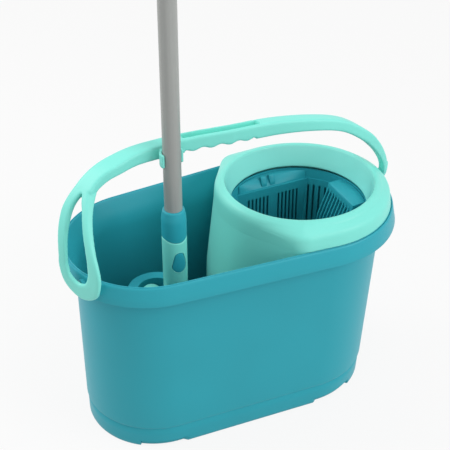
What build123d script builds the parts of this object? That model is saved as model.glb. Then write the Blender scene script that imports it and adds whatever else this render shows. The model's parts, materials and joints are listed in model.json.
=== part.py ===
"""Spin mop standing in its bucket, built piece by piece in place.

Millimetres, floor at z = 0, +Z up, front towards -Y, the basket end towards +X.
"""
import os
from math import acos, cos, degrees, hypot, radians, sin, sqrt

from build123d import *

os.makedirs("parts", exist_ok=True)

# Bucket: an egg-shaped plan, one circle round each end, (centre x, radius)
rim_height = 293.0
rim_left = (-121.0, 112.0)
rim_right = (109.0, 128.5)
foot_left = (-118.0, 102.5)
foot_right = (97.0, 112.5)
wall = 2.6
floor_thickness = 4.0
flare_depth = 31.0
flare_inset = 13.6
crest_width = 5.0
skirt_reach = 10.0
skirt_depth = 27.0
skirt_roof_depth = 7.0
skirt_wall = 2.4
band_height = 35.0
band_inset = 1.5
notch_left_x = -146.0
notch_right_x = 121.0
notch_width = 62.0
notch_depth = 4.5
notch_height = 9.0
flare_height = rim_height - flare_depth
skirt_bottom = rim_height - skirt_depth
skirt_roof = rim_height - skirt_roof_depth

# Clearances, and how far a cut or a root runs past the face it starts from
running_gap = 0.06
moving_gap = 0.4
seat_gap = 0.4
overrun = 1.0

# Splash housing in the basket end: round, with a rounded corner at each side of the tub, and a lip
# that overhangs the rim, each of its levels as (rise over the rim, radius, corner radius)
basket_x = rim_right[0]
housing_wall = 2.4
body_radius = rim_right[1] - 3.7
body_corner = 25.5
body_bend = rim_height - 103.0
body_low_x = basket_x - 8.0
corner_reach = 107.0
corner_angle = 111.5
shoulder_low = flare_height + 0.5
lip_seat = 0.6
lip_bead = 0.8
lip_levels = [(8.0, 129.5, 29.5), (14.0, 126.5, 28.5), (20.0, 122.0, 27.0), (25.0, 117.0, 25.0),
              (29.0, 112.5, 22.0), (32.0, 107.5, 17.0)]
lip_radius = rim_right[1] + 2.0
lip_corner = 30.0
funnel_radius = 105.5
mouth_radius = 96.5
mouth_height = rim_height - 4.0
drain_arch = (30.0, 16.0)
drain_arches = 3

# Spin basket under the funnel's mouth, and what it turns on
boss_radius = 16.0
boss_height = 40.0
boss_rib = 3.0
spindle_radius = 5.0
spindle_bottom = 10.0
washer_thickness = 1.5
basket_bottom = 56.0
basket_top = mouth_height - 6.0
basket_top_radius = mouth_radius + 3.0
basket_bottom_radius = basket_top_radius - 15.5
basket_wall = 2.4
basket_floor = 3.0
rim_bead = 0.8
flat_wall_y = 78.0
ledge_height = basket_top - 15.0
basket_hub_radius = 14.0
basket_hub_top = 100.0
bush_radius = 8.0
spindle_top = basket_hub_top + 4.0
slot_width = 3.0
slot_pitch = 6.2
slots_per_side = 6
flat_slot_z = (basket_bottom + 14.0, ledge_height - 13.0)
round_slot_z = (basket_bottom + 36.0, ledge_height - 10.0)
round_slot_angles = (30.0, 35.5, 41.0, 46.5, 51.5)
ramp_width = 68.0
ramp_top = basket_top - 3.5
ramp_edge = 71.0
ramp_bend = (18.0, 48.0)
ramp_knee = (26.0, 120.0)
ramp_foot = 30.0
ramp_fins = 10
fin_thickness = 2.2
fin_root = 0.4 * basket_wall
drain_radius = 6.0
drain_circle = 52.0
drains = 8
nut_radius = 8.5
nut_height = 7.0

# Carry handle: each half is a curved sheet trimmed to a grip bar with a loop at its end
handle_x = 2.3
handle_y = -7.2
hinge_turn = 9.35
hinge_height = rim_height - 14.0
left_turn = 25.0
right_turn = 10.0
right_loop_shift = 40.0
loop_root = 195.0
bar_rise = 153.0
bar_depth = 22.0
bar_crown = hinge_height + bar_rise
bar_under = bar_crown - bar_depth
pivot_radius = 4.5
pivot_boss_radius = 8.0
pivot_boss_proud = {-1: 2.54, 1: 2.84}
pivot_boss_length = 17.5
pivot_hole_depth = 10.5
pivot_reach = {-1: 9.3, 1: 8.2}
finger_radius = 14.0
finger_depth = 3.5
finger_pitch = 25.0
finger_shift = -17.5
fingers = 4
channel_size = (75.0, 10.0)
channel_depth = 10.0
channel_shift = -25.0
channel_y = 2.0
channel_turn = -5.0
clip_bottom = bar_under - 6.0
clip_top = bar_crown - 6.0
clip_wall = 4.6
clip_reach = 6.0

# Handle outlines: the bar from above (x, y), the loops from the side and the arch from the front,
# both with heights above the hinge line
left_back = [(-216, 1), (-203, 5), (-168, 12), (-124, 19), (-60, 16.5), (handle_x, 10)]
left_front = [(-204, -25), (-188, -18.5), (-160, -15), (-124, -5), (-60, -4), (handle_x, -10)]
right_back = [(240, 3), (210, 5), (170, 6), (120, 6), (60, 8), (handle_x, 10)]
right_front = [(240, -17), (210, -17), (170, -17), (120, -16), (60, -13), (handle_x, -10)]
left_outer = [(244, 11), (238.4, 61), (222.2, 94.5), (190.7, 126.5), (150.4, 145), (0, bar_rise)]
left_inner = [(237, 11), (230.4, 61), (210, 95), (180, 118.6), (150, 129), (0, bar_rise - bar_depth)]
right_outer = [(252.5, 1), (248, 33), (238, 58), (221, 83), (200, 106), (165, 129), (118, 143),
               (0, bar_rise)]
right_inner = [(245.5, 1), (241, 27), (230, 51), (211, 74), (189, 95), (157, 115), (112, 126),
               (0, bar_rise - bar_depth)]
loop_long = [(86, 24), (88, 51), (94, 81), (97, 101), (94, 119), (88, 149)]
loop_short = [(13.5, 26), (18, 46), (32, 71), (48, 94), (66, 115), (62, 149)]
loop_bottom = (48, -12)
window_long = [(73, 30), (75, 53), (80, 79), (83, 99), (77, 115)]
window_short = [(34, 33), (38, 56), (49, 78), (63, 99), (77, 115)]
window_bottom = (53, 10.5)

# Mop pole
pole_x = -90.0
pole_y = -17.0
tube_radius = 12.0
tube_wall = 1.0
tube_bottom = 288.0
tube_top = 760.0
inner_radius = 10.0
inner_bottom = 500.0
inner_top = 1016.0
guide_length = 20.0
sleeve_bottom = tube_top - 22.0
sleeve_top = tube_top + 40.0
sleeve_radius = 15.5
sleeve_foot = (1.0, 4.0)
sleeve_taper = (3.0, 22.0)
grip_bottom = inner_top - 116.0
grip_top = inner_top - 6.0
grip_radius = 14.0
cap_top = inner_top + 24.0
rod_radius = 3.5
rod_top = tube_top - 25.0
anchor_bottom = tube_bottom + 12.0
anchor_top = anchor_bottom + 32.0
cage_height = 34.0
nut_bottom = inner_bottom + 8.0
nut_top = nut_bottom + 18.0
drive_nut_radius = 7.0

# Collar, joint shell and release button round the foot of the pole, the button's ends as (height, radius)
shell_radius = 17.0
shell_bottom = tube_bottom - 62.0
seam_low = tube_bottom + 6.0
seam_high = seam_low + 4.0
seam_gap = 0.3
collar_shoulder = seam_low + 32.0
collar_top = collar_shoulder + 14.0
collar_neck = 14.5
button_low = (shell_bottom + 30.0, 9.5)
button_high = (shell_bottom + 43.5, 8.0)
button_proud = 0.4
button_back = 8.6
pocket_floor = 3.8
spring_leaf = 1.2

# Universal joint under the shell
upper_pin_height = shell_bottom - 12.0
lower_pin_height = upper_pin_height - 20.0
pin_radius = 3.0
knuckle_radius = 8.0
knuckle_half = 9.0
cheek_thickness = 5.0
cheek_half = 9.0
cheek_bottom = upper_pin_height - cheek_half

# Mop head under the joint, turned in the tub: shifts run along the head from the pole's axis
head_turn = 145.0
hub_plate_top = lower_pin_height - 12.0
hub_plate_bottom = hub_plate_top - 8.0
hub_half = (38.0, 41.0)
hub_shift = 16.0
ring_shift = 28.0
ring_outer = 40.0
ring_inner = 26.0
ring_top = hub_plate_top + 21.0
pedal_shift = 35.0
pedal_radius = 15.0
pedal_top = ring_top + 3.0
pedal_stem = 6.0
pedal_travel = 4.0
joint_room = 22.0
ear_thickness = 4.5
ear_radius = 7.0
wing_hinge_reach = 38.0
wing_hinge_height = hub_plate_bottom - 8.0
wing_pin_radius = 2.5
wing_knuckle_radius = 5.5
wing_width = 80.0
wing_length = 118.0
wing_thickness = 6.0
wing_knuckle = 24.0
lug_width = 12.0
cover_thickness = 9.0
cover_width = 92.0
cover_overhang = 6.0


def between(a, b, t):
    """Value a share t of the way from a to b."""
    return a + (b - a) * t


def egg(left, right, plane):
    """Egg outline on a plane: a circle round each end, on its x axis, joined by their common tangents."""
    (left_x, left_r), (right_x, right_r) = left, right
    turn = degrees(acos((left_r - right_r) / (right_x - left_x)))
    with BuildSketch(plane, mode=Mode.PRIVATE) as outline:
        with BuildLine():
            low = CenterArc((right_x, 0), right_r, -turn, turn)
            high = CenterArc((right_x, 0), right_r, 0, turn)
            back = CenterArc((left_x, 0), left_r, turn, 180 - turn)
            front = CenterArc((left_x, 0), left_r, 180, 180 - turn)
            Line(high @ 1, back @ 0)
            Line(front @ 1, low @ 0)
        make_face()
    return outline.sketch


def rim_egg(z, grow):
    """Egg that follows the rim's inner edge, grown outwards."""
    left = (rim_left[0], rim_left[1] + grow)
    right = (rim_right[0], rim_right[1] + grow)
    return egg(left, right, Plane.XY.offset(z))


def wall_egg(z, grow):
    """Egg that follows the tapered outer wall, grown outwards."""
    t = z / flare_height
    under_flare = wall - flare_inset
    left_r = between(foot_left[1], rim_left[1] + under_flare, t) + grow
    right_r = between(foot_right[1], rim_right[1] + under_flare, t) + grow
    left = (between(foot_left[0], rim_left[0], t), left_r)
    right = (between(foot_right[0], rim_right[0], t), right_r)
    return egg(left, right, Plane.XY.offset(z))


def flare_grow(z):
    """How far the flare's inner face lies outside the rim's inner edge at height z."""
    return flare_inset * (z - rim_height) / flare_depth


def axis_plane(turn, x, y, z):
    """Plane whose normal points along the direction turned from +X, with its own x level and its y up."""
    return Plane(origin=(x, y, z), x_dir=(-sin(radians(turn)), cos(radians(turn)), 0),
                 z_dir=(cos(radians(turn)), sin(radians(turn)), 0))


def level_plane(turn, x, y, z):
    """Level plane at a height, with its own x axis turned from +X."""
    return Plane(origin=(x, y, z), x_dir=(cos(radians(turn)), sin(radians(turn)), 0), z_dir=(0, 0, 1))


def finish(builder, name):
    """Label the piece and write it."""
    builder.part.label = name
    export_step(builder.part, f"parts/{name}.step")


hinge_plane = axis_plane(hinge_turn, handle_x, handle_y, hinge_height)
skirt_at_hinge = between(skirt_reach, crest_width, (hinge_height - skirt_bottom) / skirt_depth)


def hinge_reach(side, end):
    """Distance along the hinge line from the handle's middle to the skirt round an end circle of the rim."""
    centre_x, radius = end
    along = side * ((centre_x - handle_x) * cos(radians(hinge_turn)) - handle_y * sin(radians(hinge_turn)))
    aside = sqrt(hypot(centre_x - handle_x, handle_y) ** 2 - along ** 2)
    return along + sqrt((radius + skirt_at_hinge) ** 2 - aside ** 2)


pivot_boss_end = {side: hinge_reach(side, end) + pivot_boss_proud[side]
                  for side, end in ((-1, rim_left), (1, rim_right))}

# Bucket: hollow skirt first, then the walls, then everything inside is cut away
with BuildPart() as bucket:
    loft([rim_egg(skirt_bottom, skirt_reach), rim_egg(rim_height, crest_width)], ruled=True)
    roof_reach = between(skirt_reach, crest_width, (skirt_roof - skirt_bottom) / skirt_depth)
    loft([rim_egg(skirt_bottom, skirt_reach - skirt_wall), rim_egg(skirt_roof, roof_reach - skirt_wall)],
         ruled=True, mode=Mode.SUBTRACT)
    loft([wall_egg(0, -band_inset), wall_egg(band_height, -band_inset)], ruled=True)
    loft([wall_egg(band_height, 0), wall_egg(flare_height, 0)], ruled=True)
    loft([rim_egg(flare_height, wall - flare_inset), rim_egg(rim_height, wall)], ruled=True)
    for side in (-1, 1):
        with BuildSketch(hinge_plane.offset(side * (pivot_boss_end[side] - pivot_boss_length))):
            Circle(pivot_boss_radius)
        extrude(amount=side * pivot_boss_length)
    loft([wall_egg(floor_thickness, -wall - band_inset), wall_egg(band_height, -wall - band_inset)],
         ruled=True, mode=Mode.SUBTRACT)
    loft([wall_egg(band_height, -wall), wall_egg(flare_height, -wall)], ruled=True, mode=Mode.SUBTRACT)
    cut_top = rim_height + overrun
    loft([rim_egg(flare_height, -flare_inset), rim_egg(cut_top, flare_grow(cut_top))],
         ruled=True, mode=Mode.SUBTRACT)
    for side in (-1, 1):
        with BuildSketch(hinge_plane.offset(side * (pivot_boss_end[side] - pivot_hole_depth))):
            Circle(pivot_radius + running_gap)
        extrude(amount=side * pivot_boss_length, mode=Mode.SUBTRACT)
    with BuildSketch(Plane.XY.offset(floor_thickness)):
        with Locations((basket_x, 0)):
            Circle(boss_radius)
            Rectangle(4 * boss_radius, boss_rib)
            Rectangle(boss_rib, 4 * boss_radius)
    extrude(amount=boss_height / 2 - floor_thickness)
    with BuildSketch(Plane.XY.offset(floor_thickness)):
        with Locations((basket_x, 0)):
            Circle(boss_radius)
    extrude(amount=boss_height - floor_thickness)
    with BuildSketch(Plane.XY.offset(spindle_bottom)):
        with Locations((basket_x, 0)):
            Circle(spindle_radius)
    extrude(amount=boss_height, mode=Mode.SUBTRACT)
    for notch_x in (notch_left_x, notch_right_x):
        with BuildSketch(Plane.XY.offset(floor_thickness / 2)):
            add(wall_egg(0, -2 * band_inset))
            add(wall_egg(0, -band_inset - notch_depth - wall), mode=Mode.SUBTRACT)
            with Locations((notch_x, -foot_right[1])):
                Rectangle(notch_width + 2 * wall, foot_right[1], mode=Mode.INTERSECT)
        extrude(amount=notch_height + wall - floor_thickness / 2)
        with BuildSketch():
            add(wall_egg(0, band_inset))
            add(wall_egg(0, -band_inset - notch_depth), mode=Mode.SUBTRACT)
            with Locations((notch_x, -foot_right[1])):
                Rectangle(notch_width, foot_right[1], mode=Mode.INTERSECT)
        extrude(amount=notch_height, mode=Mode.SUBTRACT)
finish(bucket, "bucket")

for side, name in ((-1, "handle_pin_left"), (1, "handle_pin_right")):
    with BuildPart() as handle_pin:
        inner_end = pivot_boss_end[side] - pivot_hole_depth + moving_gap
        with BuildSketch(hinge_plane.offset(side * inner_end)):
            Circle(pivot_radius)
        extrude(amount=side * (pivot_boss_end[side] + pivot_reach[side] - inner_end))
    finish(handle_pin, name)

def handle_half(side, turn, shift, back, front, outer, inner):
    """Half of the carry handle: what lies in its outlines from above or from the side, and in its arch."""

    def across(point):
        return shift - side * point[0], hinge_height + point[1]

    def along(point):
        return side * point[0], hinge_height + point[1]

    side_plane = axis_plane(turn, handle_x, 0, 0)
    arch_plane = Plane(origin=(handle_x, 0, 0), x_dir=side_plane.z_dir, z_dir=-side_plane.x_dir)
    with BuildPart() as half:
        with BuildSketch(Plane.XY.offset(hinge_height)):
            with BuildLine():
                back_edge = Spline(back)
                front_edge = Spline(front)
                Line(back_edge @ 0, front_edge @ 0)
                Line(back_edge @ 1, front_edge @ 1)
            make_face()
        extrude(amount=bar_crown)
        with BuildSketch(side_plane.offset(side * loop_root)):
            with BuildLine():
                long_edge = Spline([across(point) for point in loop_long])
                short_edge = Spline([across(point) for point in loop_short])
                ThreePointArc(long_edge @ 0, across(loop_bottom), short_edge @ 0)
                Line(long_edge @ 1, short_edge @ 1)
            make_face()
            with BuildLine():
                long_edge = Spline([across(point) for point in window_long])
                short_edge = Spline([across(point) for point in window_short])
                ThreePointArc(long_edge @ 0, across(window_bottom), short_edge @ 0)
            make_face(mode=Mode.SUBTRACT)
        extrude(amount=side * loop_root)
        with BuildSketch(arch_plane):
            with BuildLine():
                upright = ((0, 1), (-side, 0))
                outer_edge = Spline([along(point) for point in outer], tangents=upright)
                inner_edge = Spline([along(point) for point in inner], tangents=upright)
                outer_foot = Line(outer_edge @ 0, along((outer[0][0], -hinge_height)))
                inner_foot = Line(inner_edge @ 0, along((inner[0][0], -hinge_height)))
                Line(outer_foot @ 1, inner_foot @ 1)
                outer_mid = Line(outer_edge @ 1, (-side * loop_root, bar_crown))
                inner_mid = Line(inner_edge @ 1, (-side * loop_root, bar_under))
                Line(outer_mid @ 1, inner_mid @ 1)
            make_face()
        extrude(amount=loop_root, both=True, mode=Mode.INTERSECT)
    return half.part


with BuildPart() as carry_handle:
    add(handle_half(-1, left_turn, 0, left_back, left_front, left_outer, left_inner))
    add(handle_half(1, right_turn, right_loop_shift, right_back, right_front, right_outer, right_inner))
    with BuildSketch(level_plane(hinge_turn, pole_x, pole_y, clip_bottom)):
        clip_radius = tube_radius + moving_gap + clip_wall
        Circle(clip_radius)
        with Locations((0, clip_reach)):
            Rectangle(2 * clip_radius, 4 * clip_reach)
    extrude(amount=clip_top - clip_bottom)
    with BuildSketch(level_plane(hinge_turn, pole_x, pole_y, clip_bottom - clip_wall)):
        Circle(tube_radius + moving_gap)
        with Locations((0, -clip_radius)):
            Rectangle(2 * (tube_radius + moving_gap), 2 * clip_radius)
    extrude(amount=bar_crown - clip_bottom + 2 * clip_wall, mode=Mode.SUBTRACT)
    with BuildSketch(Plane.XZ.offset(-finger_radius * 2)):
        with Locations((handle_x + finger_shift, bar_under + finger_depth - finger_radius)):
            with GridLocations(finger_pitch, 1, fingers, 1):
                Circle(finger_radius)
    extrude(amount=finger_radius * 4, mode=Mode.SUBTRACT)
    channel_floor = bar_crown - channel_depth
    with BuildSketch(level_plane(channel_turn, handle_x + channel_shift, channel_y, channel_floor)):
        SlotOverall(channel_size[0], channel_size[1])
    extrude(amount=2 * channel_depth, mode=Mode.SUBTRACT)
    for side in (-1, 1):
        with BuildSketch(hinge_plane.offset(side * pivot_boss_end[side])):
            Circle(pivot_radius)
        extrude(amount=side * pivot_boss_length, mode=Mode.SUBTRACT)
finish(carry_handle, "carry_handle")


def housing_outline(z, centre_x, radius, corner, inset):
    """Splash housing from above, inset by a wall: an arc round each end, a rounded corner at each side.

    The left arc, across the tub, stays close to the partition's radius.
    """
    left_radius = min(radius, body_radius + lip_bead) - inset
    radius = radius - inset
    corner = corner - inset
    near = corner_angle - degrees(acos((radius - corner) / corner_reach))
    far = corner_angle + degrees(acos((left_radius - corner) / corner_reach))
    corner_x = centre_x + corner_reach * cos(radians(corner_angle))
    corner_y = corner_reach * sin(radians(corner_angle))
    with BuildSketch(Plane.XY.offset(z), mode=Mode.PRIVATE) as outline:
        with BuildLine():
            right = CenterArc((centre_x, 0), radius, -near, 2 * near)
            back = CenterArc((corner_x, corner_y), corner, near, far - near)
            left = CenterArc((centre_x, 0), left_radius, far, 360 - 2 * far)
            front = CenterArc((corner_x, -corner_y), corner, -far, far - near)
            Line(right @ 1, back @ 0)
            Line(back @ 1, left @ 0)
            Line(left @ 1, front @ 0)
            Line(front @ 1, right @ 0)
        make_face()
    return outline.sketch


def partition_loft(inset, top, mode):
    """Loft of the housing's outline, inset by a wall, from the tub's floor past its bend to a top height."""
    top_x = between(body_low_x, basket_x, (top - body_bend) / (rim_height - body_bend))
    levels = ((floor_thickness, body_low_x), (body_bend, body_low_x), (top, top_x))
    loft([housing_outline(z, x, body_radius, body_corner, inset) for z, x in levels], ruled=True, mode=mode)


def housing_body(inset):
    """Solid in the basket end of the tub, from its floor up into the lip, inset by a wall."""
    tub_gap = -wall - seat_gap - inset
    band_gap = tub_gap - band_inset
    flare_gap = -seat_gap - inset
    seat = rim_height + lip_seat
    with BuildPart() as body:
        loft([wall_egg(floor_thickness, band_gap), wall_egg(band_height, band_gap)], ruled=True)
        loft([wall_egg(band_height, band_gap), wall_egg(flare_height, tub_gap)], ruled=True)
        loft([rim_egg(flare_height, flare_gap - flare_inset), rim_egg(seat + inset, flare_gap)], ruled=True)
        partition_loft(inset, seat + inset, Mode.INTERSECT)
        lip = [housing_outline(rim_height + rise - inset, basket_x, radius, corner, inset)
               for rise, radius, corner in lip_levels]
        loft([housing_outline(seat + inset, basket_x, lip_radius, lip_corner, inset), *lip], ruled=True)
    return body.part


# Splash housing: a shell across the tub with a rounded lip, and the funnel turned into it
with BuildPart() as housing:
    add(housing_body(0))
    add(housing_body(housing_wall), mode=Mode.SUBTRACT)
    partition_loft(housing_wall, shoulder_low, Mode.SUBTRACT)
    lip_top = rim_height + lip_levels[-1][0]
    with BuildSketch(Plane.XY.offset(lip_top - 2 * housing_wall)):
        with Locations((basket_x, 0)):
            Circle(funnel_radius)
    extrude(amount=4 * housing_wall, mode=Mode.SUBTRACT)
    with BuildSketch(Plane.XZ):
        with BuildLine():
            Polyline(
                (basket_x + mouth_radius, mouth_height),
                (basket_x + funnel_radius, lip_top),
                (basket_x + funnel_radius + housing_wall / 2, lip_top),
                (basket_x + funnel_radius + housing_wall / 2, lip_top - 2 * housing_wall),
                (basket_x + mouth_radius + housing_wall, mouth_height - housing_wall),
                (basket_x + mouth_radius, mouth_height - housing_wall),
                close=True,
            )
        make_face()
    revolve(axis=Axis((basket_x, 0, 0), (0, 0, 1)))
    with BuildSketch(Plane.YZ.offset(body_low_x - body_radius - boss_radius)):
        with Locations((0, floor_thickness)):
            with GridLocations(2 * drain_arch[0], 1, drain_arches, 1):
                Rectangle(drain_arch[0], 2 * drain_arch[1])
    extrude(amount=3 * boss_radius, mode=Mode.SUBTRACT)
finish(housing, "housing")

with BuildPart() as basket_spindle:
    with BuildSketch(Plane.XY.offset(spindle_bottom)):
        with Locations((basket_x, 0)):
            Circle(spindle_radius)
    extrude(amount=spindle_top - spindle_bottom)
finish(basket_spindle, "basket_spindle")

with BuildPart() as thrust_washer:
    with BuildSketch(Plane.XY.offset(boss_height)):
        with Locations((basket_x, 0)):
            Circle(basket_hub_radius)
            Circle(spindle_radius, mode=Mode.SUBTRACT)
    extrude(amount=washer_thickness)
finish(thrust_washer, "thrust_washer")

with BuildPart() as spindle_nut:
    with BuildSketch(Plane.XY.offset(basket_hub_top + moving_gap)):
        with Locations((basket_x, 0)):
            RegularPolygon(nut_radius, 6)
    extrude(amount=nut_height)
    with BuildSketch(Plane.XY.offset(basket_hub_top)):
        with Locations((basket_x, 0)):
            Circle(spindle_radius)
    extrude(amount=spindle_top - basket_hub_top, mode=Mode.SUBTRACT)
finish(spindle_nut, "spindle_nut")

hub_bottom = boss_height + washer_thickness + moving_gap
with BuildPart() as basket_bush:
    with BuildSketch(Plane.XY.offset(hub_bottom)):
        with Locations((basket_x, 0)):
            Circle(bush_radius)
            Circle(spindle_radius + running_gap, mode=Mode.SUBTRACT)
    extrude(amount=basket_hub_top - hub_bottom)
finish(basket_bush, "basket_bush")


def basket_radius(z):
    """Outer radius of the tapered basket at height z."""
    share = (z - basket_bottom) / (basket_top - basket_bottom)
    return between(basket_bottom_radius, basket_top_radius, share)


def basket_circle(z, grow):
    """Circle round the basket's axis on the tapered wall, grown outwards."""
    with BuildSketch(Plane.XY.offset(z), mode=Mode.PRIVATE) as outline:
        with Locations((basket_x, 0)):
            Circle(basket_radius(z) + grow)
    return outline.sketch


def basket_slab(z, grow):
    """Level slice of the basket between its two flat walls, grown outwards."""
    with BuildSketch(Plane.XY.offset(z), mode=Mode.PRIVATE) as outline:
        with Locations((basket_x, 0)):
            Circle(basket_radius(z) + grow)
            Rectangle(4 * basket_top_radius, 2 * (flat_wall_y + grow), mode=Mode.INTERSECT)
    return outline.sketch


# Spin basket: round wall cut by two flat ones, an open ring on top, slots, ribbed ramps and a hub
with BuildPart() as spin_basket:
    ledge_under = ledge_height - basket_wall
    inner_floor = basket_bottom + basket_floor
    loft([basket_slab(basket_bottom, 0), basket_slab(ledge_height, 0)], ruled=True)
    loft([basket_circle(ledge_under, rim_bead), basket_circle(basket_top, rim_bead)], ruled=True)
    loft([basket_slab(inner_floor, -basket_wall), basket_slab(basket_top, -basket_wall)],
         ruled=True, mode=Mode.SUBTRACT)
    rim_inside = rim_bead - basket_wall
    loft([basket_circle(ledge_height, rim_inside), basket_circle(basket_top, rim_inside)],
         ruled=True, mode=Mode.SUBTRACT)
    slot_run = slot_pitch * (slots_per_side + 1)
    with BuildSketch(Plane.XZ):
        for offset_x in (-slot_run / 2 - slot_pitch / 2, slot_run / 2 + slot_pitch / 2):
            with Locations((basket_x + offset_x, sum(flat_slot_z) / 2)):
                with GridLocations(slot_pitch, 1, slots_per_side, 1):
                    Rectangle(slot_width, flat_slot_z[1] - flat_slot_z[0])
    extrude(amount=flat_wall_y + basket_wall, both=True, mode=Mode.SUBTRACT)
    with BuildSketch(Plane.XY.offset(round_slot_z[0])):
        reach = basket_radius(round_slot_z[1])
        for angle in round_slot_angles:
            for turn in (angle, 180 - angle, 180 + angle, -angle):
                slot_x = basket_x + reach * cos(radians(turn))
                slot_y = reach * sin(radians(turn))
                with Locations(Location((slot_x, slot_y), turn)):
                    Rectangle(reach / 2, slot_width)
    extrude(amount=round_slot_z[1] - round_slot_z[0], mode=Mode.SUBTRACT)
    fin_gap = (ramp_width - fin_thickness) / (ramp_fins - 1)
    for fin in range(ramp_fins):
        fin_y = -ramp_width / 2 + fin * fin_gap
        widest = max(abs(fin_y), abs(fin_y + fin_thickness))
        root_low = sqrt((basket_radius(inner_floor) - fin_root) ** 2 - widest ** 2)
        root_high = sqrt((basket_radius(ramp_top) - fin_root) ** 2 - widest ** 2)
        with BuildSketch(Plane.XZ.offset(-fin_y)):
            for side in (-1, 1):
                with BuildLine():
                    Polyline(
                        (basket_x + side * ramp_edge, ramp_top - basket_wall / 2),
                        (basket_x + side * (ramp_edge - ramp_bend[0]), ramp_top - ramp_bend[1]),
                        (basket_x + side * (ramp_edge - ramp_knee[0]), ramp_top - ramp_knee[1]),
                        (basket_x + side * (ramp_edge - ramp_foot), inner_floor - overrun),
                        (basket_x + side * root_low, inner_floor - overrun),
                        (basket_x + side * root_high, ramp_top - basket_wall / 2),
                        close=True,
                    )
                make_face()
        extrude(amount=-fin_thickness)
    with BuildSketch(Plane.XY.offset(ramp_top)):
        with Locations((basket_x, 0)):
            Circle(basket_radius(ramp_top) - basket_wall / 2)
            Rectangle(4 * ramp_edge, ramp_width + fin_thickness, mode=Mode.INTERSECT)
            Rectangle(2 * ramp_edge - fin_thickness, 2 * ramp_width, mode=Mode.SUBTRACT)
    extrude(amount=-basket_wall)
    with BuildSketch(Plane.XY.offset(basket_bottom)):
        with Locations((basket_x, 0)):
            with PolarLocations(drain_circle, drains, start_angle=180 / drains):
                Circle(drain_radius)
    extrude(amount=basket_floor, mode=Mode.SUBTRACT)
    with BuildSketch(Plane.XY.offset(hub_bottom)):
        with Locations((basket_x, 0)):
            Circle(basket_hub_radius)
    extrude(amount=basket_hub_top - hub_bottom)
    with BuildSketch(Plane.XY.offset(hub_bottom)):
        with Locations((basket_x, 0)):
            Circle(bush_radius)
    extrude(amount=basket_hub_top, mode=Mode.SUBTRACT)
finish(spin_basket, "spin_basket")


# Pole: round pieces on one upright axis
pole_axis = Axis((pole_x, pole_y, 0), (0, 0, 1))
pole_plane = Plane.XZ.offset(-pole_y)


def ring(name, bottom, top, outer, inner):
    """Plain sleeve or rod on the pole's axis."""
    with BuildPart() as sleeve:
        with BuildSketch(Plane.XY.offset(bottom)):
            with Locations((pole_x, pole_y)):
                Circle(outer)
                if inner:
                    Circle(inner, mode=Mode.SUBTRACT)
        extrude(amount=top - bottom)
    finish(sleeve, name)


cage_bottom = nut_bottom - moving_gap
tube_bore = tube_radius - tube_wall
inner_bore = inner_radius - tube_wall
ring("lower_tube", tube_bottom, tube_top, tube_radius, tube_bore)
ring("tube_guide", tube_top - guide_length, tube_top, tube_bore, inner_radius + running_gap)
ring("upper_tube", inner_bottom, inner_top, inner_radius, inner_bore)
ring("hand_grip", grip_bottom, grip_top, grip_radius, inner_radius)
ring("rod_anchor", anchor_bottom, anchor_top, tube_bore, rod_radius)
ring("drive_rod", anchor_bottom, rod_top, rod_radius, 0)
ring("drive_nut", nut_bottom, nut_top, drive_nut_radius, rod_radius + running_gap)
ring("cage_plug", inner_bottom, cage_bottom, inner_bore, rod_radius + 2 * moving_gap)

with BuildPart() as nut_cage:
    with BuildSketch(pole_plane):
        with BuildLine():
            Polyline(
                (pole_x + drive_nut_radius + running_gap, cage_bottom),
                (pole_x + inner_bore, cage_bottom),
                (pole_x + inner_bore, inner_bottom + cage_height),
                (pole_x + rod_radius + 2 * moving_gap, inner_bottom + cage_height),
                (pole_x + rod_radius + 2 * moving_gap, nut_top + moving_gap),
                (pole_x + drive_nut_radius + running_gap, nut_top + moving_gap),
                close=True,
            )
        make_face()
    revolve(axis=pole_axis)
finish(nut_cage, "nut_cage")

with BuildPart() as lock_sleeve:
    with BuildSketch(pole_plane):
        with BuildLine():
            Polyline(
                (pole_x + tube_radius + running_gap, sleeve_bottom),
                (pole_x + sleeve_radius - sleeve_foot[0], sleeve_bottom),
                (pole_x + sleeve_radius, sleeve_bottom + sleeve_foot[1]),
                (pole_x + sleeve_radius, sleeve_top - sleeve_taper[1]),
                (pole_x + sleeve_radius - sleeve_taper[0], sleeve_top),
                (pole_x + inner_radius + moving_gap, sleeve_top),
                (pole_x + inner_radius + moving_gap, tube_top + moving_gap),
                (pole_x + tube_radius + running_gap, tube_top + moving_gap),
                close=True,
            )
        make_face()
    revolve(axis=pole_axis)
finish(lock_sleeve, "lock_sleeve")

with BuildPart() as end_cap:
    with BuildSketch(pole_plane):
        with BuildLine():
            profile = Polyline(
                (pole_x, inner_top),
                (pole_x + inner_radius, inner_top),
                (pole_x + inner_radius, grip_top),
                (pole_x + grip_radius, grip_top),
                (pole_x + grip_radius, cap_top - grip_radius / 2),
            )
            Spline(profile @ 1, (pole_x, cap_top), tangents=((0, 1), (-1, 0)))
            Line((pole_x, cap_top), profile @ 0)
        make_face()
    revolve(axis=pole_axis)
finish(end_cap, "end_cap")

# Collar and joint shell meet along a saddle that dips at the front
seam_radius = (shell_radius ** 2 + (seam_high - seam_low) ** 2) / (2 * (seam_high - seam_low))
with BuildPart() as collar:
    with BuildSketch(pole_plane):
        with BuildLine():
            Polyline(
                (pole_x + tube_radius, tube_bottom),
                (pole_x + shell_radius, tube_bottom),
                (pole_x + shell_radius, collar_shoulder),
                (pole_x + collar_neck, collar_top),
                (pole_x + tube_radius, collar_top),
                close=True,
            )
        make_face()
    revolve(axis=pole_axis)
    with BuildSketch(pole_plane):
        with Locations((pole_x, seam_low + seam_radius)):
            Circle(seam_radius)
            Rectangle(2 * seam_radius, 2 * seam_radius, align=(Align.CENTER, Align.MIN))
    extrude(amount=2 * shell_radius, both=True, mode=Mode.INTERSECT)
finish(collar, "collar")


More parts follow.
